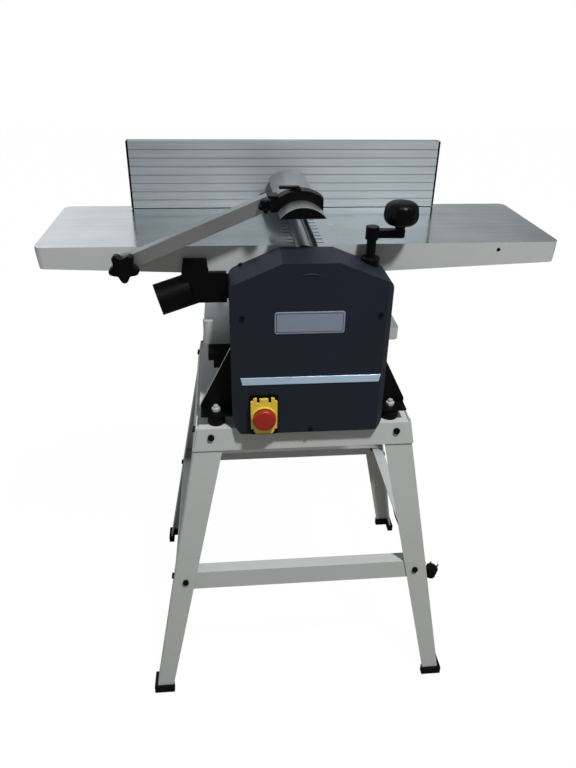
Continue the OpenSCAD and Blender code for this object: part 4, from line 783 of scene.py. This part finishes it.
class PLANER_OT_lead(bpy.types.Operator):
    """Makes the mains lead along its route, with its gland and plug."""

    bl_idname = "planer.lead"
    bl_label = "Mains lead"

    def execute(self, context):
        s = sizes()
        path = self.curve(np.array(LEAD_ROUTE_MM) * MM, steps=8)
        rings = self.sweep(path, s.lead_diameter / 2.0, sides=12)
        lead = add_rings("lead", rings, "mains_cord", [rubber()], angle=60.0)
        plug = softened("plug", edge_mm=2.0, material=[rubber(), steel()], segments=3, pick=self.pins)
        softened("cord_gland", edge_mm=0.8, material=rubber())
        return {"FINISHED"}

    def curve(self, p, steps):
        """A Catmull-Rom curve through the points.

        From b to c, with a before and d after them, it is half of 2 b + (c - a) t + (2 a - 5 b + 4 c - d) t^2
        + (3 b - a - 3 c + d) t^3, with t from 0 to 1.
        """
        t = np.linspace(0.0, 1.0, steps, endpoint=False)[None, :, None]
        padded = np.concatenate([p[:1], p, p[-1:]])
        a, b, c, d = (padded[i:len(p) - 1 + i, None, :] for i in range(4))
        bend = (2 * a - 5 * b + 4 * c - d) * t ** 2 + (3 * b - a - 3 * c + d) * t ** 3
        spans = 0.5 * (2 * b + (c - a) * t + bend)
        return np.concatenate([spans.reshape(-1, 3), p[-1:]])

    def sweep(self, path, radius, sides):
        """Rings of the given radius square to the path: c + r (cos a u + sin a v).

        u is square to the path and to one fixed slant, which the path never follows, and v to the path and u.
        """
        slant = np.array([0.31, -0.52, 0.8])
        ahead = np.gradient(path, axis=0)
        ahead /= np.linalg.norm(ahead, axis=1)[:, None]
        u = np.cross(ahead, slant)
        u /= np.linalg.norm(u, axis=1)[:, None]
        v = np.cross(ahead, u)
        a = np.linspace(0.0, 2.0 * np.pi, sides, endpoint=False)[None, :, None]
        return path[:, None, :] + radius * (np.cos(a) * u[:, None, :] + np.sin(a) * v[:, None, :])

    def pins(self, centres, normals):
        """The plug's two pins are bright: their faces lie beyond the body, along the pins."""
        body_reach = 12.3 * MM
        root = np.array(LEAD_ROUTE_MM[-1][:2]) * MM
        return (centres[:, :2] - root) @ np.array(PIN_WAY) > body_reach


class PLANER_OT_stand(bpy.types.Operator):
    """Dresses the stand, the base plate and the two side frames."""

    bl_idname = "planer.stand"
    bl_label = "Stand and base"

    def execute(self, context):
        for corner in ("front_left", "front_right", "rear_left", "rear_right"):
            softened("leg_" + corner, edge_mm=1.0, material=paint())
        for bar in ("apron", "crossbar"):
            for side in ("front", "rear", "sides"):
                softened(bar + "_" + side, edge_mm=1.0, material=paint())
        softened("base_plate", edge_mm=1.2, material=paint())
        softened("rear_frame", edge_mm=1.5, material=paint())
        # The front frame's sloping edges that look upward get light paint, as a painted highlight.
        softened("front_frame", edge_mm=1.5, material=[black_paint(), paint()], pick=self.painted_highlight_slopes)
        softened("foot_caps", edge_mm=2.0, material=rubber(), segments=3)
        softened("rubber_feet", edge_mm=2.5, material=rubber(), segments=3)
        softened("stand_bolts", edge_mm=1.8, material=black_paint(), segments=3)
        softened("base_studs", edge_mm=0.6, material=zinc())
        return {"FINISHED"}

    def painted_highlight_slopes(self, centres, normals):
        """Painted highlight: the front frame's narrow sloping edges that look up and sideways are light."""
        upright, level, ahead = 0.15, 0.95, 0.5
        up = normals[:, 2]
        return (up > upright) & (up < level) & (np.abs(normals[:, 1]) < ahead)


class PLANER_OT_tables(bpy.types.Operator):
    """Dresses the planing tables and the thicknessing table."""

    bl_idname = "planer.tables"
    bl_label = "Tables"

    def execute(self, context):
        for node in ("infeed_table", "outfeed_table"):
            softened(node, edge_mm=1.2, material=[paint(), milled()], segments=3, pick=self.top)
        softened("thickness_table", edge_mm=1.5, material=[paint(), ground()], segments=3, pick=self.flat_top)
        softened("lift_brackets", edge_mm=1.0, material=black_paint())
        self.shaded_hole_cup()
        return {"FINISHED"}

    def top(self, centres, normals):
        """The tops and the lips beside the cutter are milled."""
        near = 1.0 * MM
        lip_reach = 42.0 * MM
        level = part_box("outfeed_table")[1].z
        upper = (normals[:, 2] > FACING) & (centres[:, 2] > level - near)
        lips = np.abs(centres[:, 0]) < lip_reach
        return upper | lips

    def flat_top(self, centres, normals):
        """Only the thicknessing table's top is ground; the lug in its corner stands above it."""
        near = 1.0 * MM
        lug_height = 22.0 * MM
        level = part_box("thickness_table")[1].z - lug_height
        return (normals[:, 2] > FACING) & (np.abs(centres[:, 2] - level) < near)

    def shaded_hole_cup(self):
        """Closes the small hole in the infeed table's face from behind: a turned cup, open to the front, as
        painted shade.
        """
        s = sizes()
        rim, wall, deep, set_back = 3.4 * MM, 0.6 * MM, 7.0 * MM, 0.3 * MM
        inner = rim - wall
        floor = deep - wall
        tip = 0.05 * rim
        profile = [(tip, floor), (inner, floor), (inner, 0.0), (rim, 0.0), (rim, deep), (tip, deep)]
        low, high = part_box("infeed_table")
        place = (s.face_hole_place, low.y + set_back, high.z - s.face_hole_drop)
        rings = placed(lathe(profile, turns=24), place, (0.0, 1.0, 0.0))
        # The cup's dark rubber is painted shade for the hole's shaded inside.
        add_rings("face_hole_end", rings, "infeed_table", [rubber()], replace=False, angle=40.0)


class PLANER_OT_fence(bpy.types.Operator):
    """Dresses the fence with its end caps and bracket."""

    bl_idname = "planer.fence"
    bl_label = "Fence"

    def execute(self, context):
        softened("fence", edge_mm=0.4, material=extruded())
        softened("fence_end_caps", edge_mm=1.0, material=black())
        softened("fence_bracket", edge_mm=0.6, material=black_paint())
        return {"FINISHED"}


class PLANER_OT_cover(bpy.types.Operator):
    """Makes the front cover with its plate, finger scoop, strip and screws, and the rear cover."""

    bl_idname = "planer.cover"
    bl_label = "Covers"

    def execute(self, context):
        edge_mm = sizes().cover_edge / MM
        softened("front_cover", edge_mm=edge_mm, material=slate(), segments=4, angle=12.0, hull=True)
        self.plate()
        self.scoop()
        softened("trim_strip", edge_mm=0.6, material=trim(), segments=3)
        softened("cover_screws", edge_mm=1.0, material=black(), segments=3)
        softened("rear_cover", edge_mm=4.0, material=black(), segments=4)
        return {"FINISHED"}

    def plate(self):
        """A bare plate with a raised rim and a sunk border line.

        Each ring is the plate's rounded outline, moved inwards and along Y by one of the steps.
        """
        s = sizes()
        corner = 4.0 * MM
        edge_steps = ((0.0, 0.2), (0.0, -0.7), (0.4, -1.0), (2.6, -1.0))
        line_steps = ((2.8, -0.9), (3.5, -0.9), (3.7, -1.0), (5.0, -1.0))
        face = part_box("front_cover")[0].y
        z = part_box("outfeed_table")[1].z - s.plate_drop
        half_x = s.plate_width / 2.0
        half_z = s.plate_height / 2.0
        low, high = z - half_z, z + half_z
        corners = [(-half_x, low), (half_x, low), (half_x, high), (-half_x, high)]
        rings = []
        for inset, out in edge_steps + line_steps:
            flat = rounded(corners, corner, inset * MM, steps=8)
            rings.append(np.stack([flat[:, 0], np.full(len(flat), face + out * MM), flat[:, 1]], axis=-1))
        add_rings("blank_plate", np.stack(rings), "trim_strip", [plate_metal(), plate_line()], replace=False,
            angle=50.0, bands=[0, 0, 0, 1, 1, 1, 0])

    def scoop(self):
        """A finger scoop: a half-round ridge along an arc, thinner towards its ends.

        The arc has half width h and rise s, so its radius is (h^2 + s^2) / 2 s. At the share q of the way to
        an end the ridge has sqrt(1 - q^2) of its thickness.
        """
        s = sizes()
        ridge = 1.3 * MM
        flatness = 0.6
        least_thickness = 0.02
        steps, sides = 33, 10
        low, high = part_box("front_cover")
        radius = (s.scoop_half ** 2 + s.scoop_rise ** 2) / (2.0 * s.scoop_rise)
        span = math.asin(s.scoop_half / radius)
        a = np.linspace(-span, span, steps)
        b = np.linspace(0.0, 2.0 * np.pi, sides, endpoint=False)
        x = radius * np.sin(a)
        z = high.z - s.scoop_drop + radius * np.cos(a) - radius
        thin = np.sqrt(np.clip(1.0 - (a / span) ** 2, least_thickness, 1.0))[:, None]
        out = low.y - flatness * ridge * thin * np.cos(b)
        up = z[:, None] + ridge * thin * np.sin(b)
        rings = np.stack([np.broadcast_to(x[:, None], out.shape), out, up], axis=-1)
        add_rings("finger_scoop", rings, "front_cover", [slate()], replace=False, angle=60.0)


class PLANER_OT_switch(bpy.types.Operator):
    """Dresses the switch: its plate, the yellow flap, the red stop button and the green start button."""

    bl_idname = "planer.switch"
    bl_label = "Switch"

    def execute(self, context):
        softened("switch_body", edge_mm=0.8, material=black())
        softened("switch_flap", edge_mm=1.2, material=yellow(), segments=3)
        softened("start_button", edge_mm=0.8, material=green(), segments=3)
        self.stop()
        return {"FINISHED"}

    def stop(self):
        """A mushroom button: a turned cap with a rounded rim and a faint crown, on its stem."""
        low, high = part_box("stop_button")
        centre = middle("stop_button")
        r = (high.x - low.x) / 2.0
        depth = high.y - low.y
        stem, cap, chamfer = 7.0 * MM, 10.6 * MM, 1.5 * MM
        rim, rim_rise, crown = 5.0 * MM, 4.0 * MM, 0.2 * MM
        crown_foot, tip = 0.4 * r, 0.05 * r
        base = depth - cap
        profile = [(stem, 0.0), (stem, base), (r - chamfer, base), (r, base + chamfer), (r, depth - rim)]
        profile += shoulder((r, depth - rim), rim, rim_rise, steps=7, start=0.2)
        profile += [(crown_foot, depth - crown), (tip, depth)]
        rings = placed(lathe(profile, turns=56), (centre.x, high.y, centre.z), (0.0, -1.0, 0.0))
        add_rings("stop_cap", rings, "stop_button", [red()], angle=45.0)


class PLANER_OT_crank(bpy.types.Operator):
    """Makes the crank's arm and its fluted grip."""

    bl_idname = "planer.crank"
    bl_label = "Crank"

    def execute(self, context):
        softened("crank_arm", edge_mm=2.0, material=black(), segments=3)
        softened("lift_spindle_right", edge_mm=0.8, material=black_paint())
        self.grip()
        return {"FINISHED"}

    def grip(self):
        """A turned grip: a neck, a bell out to the rim and a dome over it, with twelve shallow flutes.

        The shares are of the grip's radius and height.
        """
        low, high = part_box("crank_knob")
        centre = middle("crank_knob")
        r = (high.x - low.x) / 2.0
        h = high.z - low.z
        neck, neck_height, bell_foot = 8.0 * MM, 6.0 * MM, 7.5 * MM
        bell_share, rim_share = 0.55, 0.46
        brow_shares = ((0.99, 0.54), (0.97, 0.62))
        dome_shares = (0.56, 0.27)
        crown_shares = ((0.28, 0.905), (0.14, 0.912), (0.03, 0.914))
        brow = [(across * r, up * h) for across, up in brow_shares]
        profile = [(neck, 0.0), (neck, neck_height)]
        profile += quarter((bell_share * r, bell_foot), (r, rim_share * h), steps=9)
        profile += brow
        profile += shoulder(brow[-1], dome_shares[0] * r, dome_shares[1] * h, steps=9, start=0.2)
        profile += [(across * r, up * h) for across, up in crown_shares]
        rings = lathe(profile, turns=144, lobes=12, depth=0.035, power=3.0, ease=(0.80, 0.98))
        place = np.array([centre.x, centre.y, low.z])
        add_rings("crank_grip_shell", rings + place, "crank_knob", [black()], angle=50.0)


class PLANER_OT_guard(bpy.types.Operator):
    """Dresses the cutter guard: arm, knobs, clamp, lever and arched profile."""

    bl_idname = "planer.guard"
    bl_label = "Cutter guard"

    def execute(self, context):
        softened("guard_arm", edge_mm=1.6, material=tube(), segments=3)
        softened("guard_clamp", edge_mm=1.2, material=black(), segments=3)
        softened("clamp_lever", edge_mm=1.2, material=black(), segments=3)
        softened("guard_profile", edge_mm=0.5, material=[satin(), black()], pick=self.near_end)
        self.star("arm_knob", thick=18.0 * MM)
        self.star("clamp_knob", thick=12.0 * MM)
        return {"FINISHED"}

    def near_end(self, centres, normals):
        """The near end and the underside are black."""
        downward = -0.2
        return (normals[:, 1] < -FACING) | (normals[:, 2] < downward)

    def star(self, node, thick):
        """A turned five-lobed knob with round edges and a dished face on its stud, one lobe pointing down."""
        low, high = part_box(node)
        centre = middle(node)
        r = (high.x - low.x) / 2.0
        top = high.y - low.y
        base = top - thick
        stud, hub = 0.2 * r, 0.45 * r
        dish, dish_floor, tip = 0.42 * r, 0.36 * r, 0.04 * r
        edge, dip = 0.2 * thick, 0.08 * thick
        profile = [(stud, 0.0), (stud, base), (hub, base)]
        profile += quarter((r - edge, base), (r, base + edge), steps=5)
        profile += shoulder((r, top - edge), edge, edge, steps=5)
        profile += [(dish, top), (dish_floor, top - dip), (tip, top - dip)]
        rings = lathe(profile, turns=120, lobes=5, depth=0.32, ease=(0.5, 0.9))
        turned = np.stack([rings[..., 1], -rings[..., 0], rings[..., 2]], axis=-1)
        points = placed(turned, (centre.x, high.y, centre.z), (0.0, -1.0, 0.0))
        add_rings(node + "_shell", points, node, [black()], angle=45.0)


class PLANER_OT_hood(bpy.types.Operator):
    """Dresses the dust hood under the outfeed table."""

    bl_idname = "planer.hood"
    bl_label = "Dust hood"

    def execute(self, context):
        softened("dust_hood", edge_mm=1.5, material=black(), segments=3)
        return {"FINISHED"}


class PLANER_OT_works(bpy.types.Operator):
    """Gives the drive, the rollers, the lift and the cutter their finishes."""

    bl_idname = "planer.works"
    bl_label = "Works inside"

    def execute(self, context):
        for node in ("cutter_block", "cutter_knives", "cutter_bearings", "guide_columns", "lift_spindle_left",
                "lift_chain", "feed_roller_in", "feed_roller_out", "kickback_fingers"):
            plain(node, steel())
        for node in ("tie_bars", "motor_pulley", "cutter_pulley"):
            plain(node, cast())
        plain("motor", black_paint())
        plain("drive_belt", rubber())
        plain("depth_knob", black())
        return {"FINISHED"}


class PLANER_PT_panel(bpy.types.Panel):
    """Sidebar panel with the machine's groups."""

    bl_idname = "PLANER_PT_panel"
    bl_label = "Planer thicknesser"
    bl_space_type = "VIEW_3D"
    bl_region_type = "UI"
    bl_category = "Planer"

    def draw(self, context):
        for operator in OPERATORS:
            self.layout.operator(operator.bl_idname)


OPERATORS = (
    PLANER_OT_stage,
    PLANER_OT_lead,
    PLANER_OT_stand,
    PLANER_OT_tables,
    PLANER_OT_fence,
    PLANER_OT_cover,
    PLANER_OT_switch,
    PLANER_OT_crank,
    PLANER_OT_guard,
    PLANER_OT_hood,
    PLANER_OT_works,
)
CLASSES = (PlanerSizes, PlanerColours) + OPERATORS + (PLANER_PT_panel,)


def register():
    """Registers the classes and puts the two property groups on the scene."""
    for each in CLASSES:
        bpy.utils.register_class(each)
    bpy.types.Scene.planer_sizes = bpy.props.PointerProperty(type=PlanerSizes)
    bpy.types.Scene.planer_colours = bpy.props.PointerProperty(type=PlanerColours)


def unregister():
    """Takes everything that register added away again."""
    del bpy.types.Scene.planer_colours
    del bpy.types.Scene.planer_sizes
    for each in reversed(CLASSES):
        bpy.utils.unregister_class(each)


def main():
    """Builds the whole picture."""
    register()
    bpy.ops.planer.stage()
    bpy.ops.planer.lead()
    bpy.ops.planer.stand()
    bpy.ops.planer.tables()
    bpy.ops.planer.fence()
    bpy.ops.planer.cover()
    bpy.ops.planer.switch()
    bpy.ops.planer.crank()
    bpy.ops.planer.guard()
    bpy.ops.planer.hood()
    bpy.ops.planer.works()


if __name__ == "__main__":
    main()
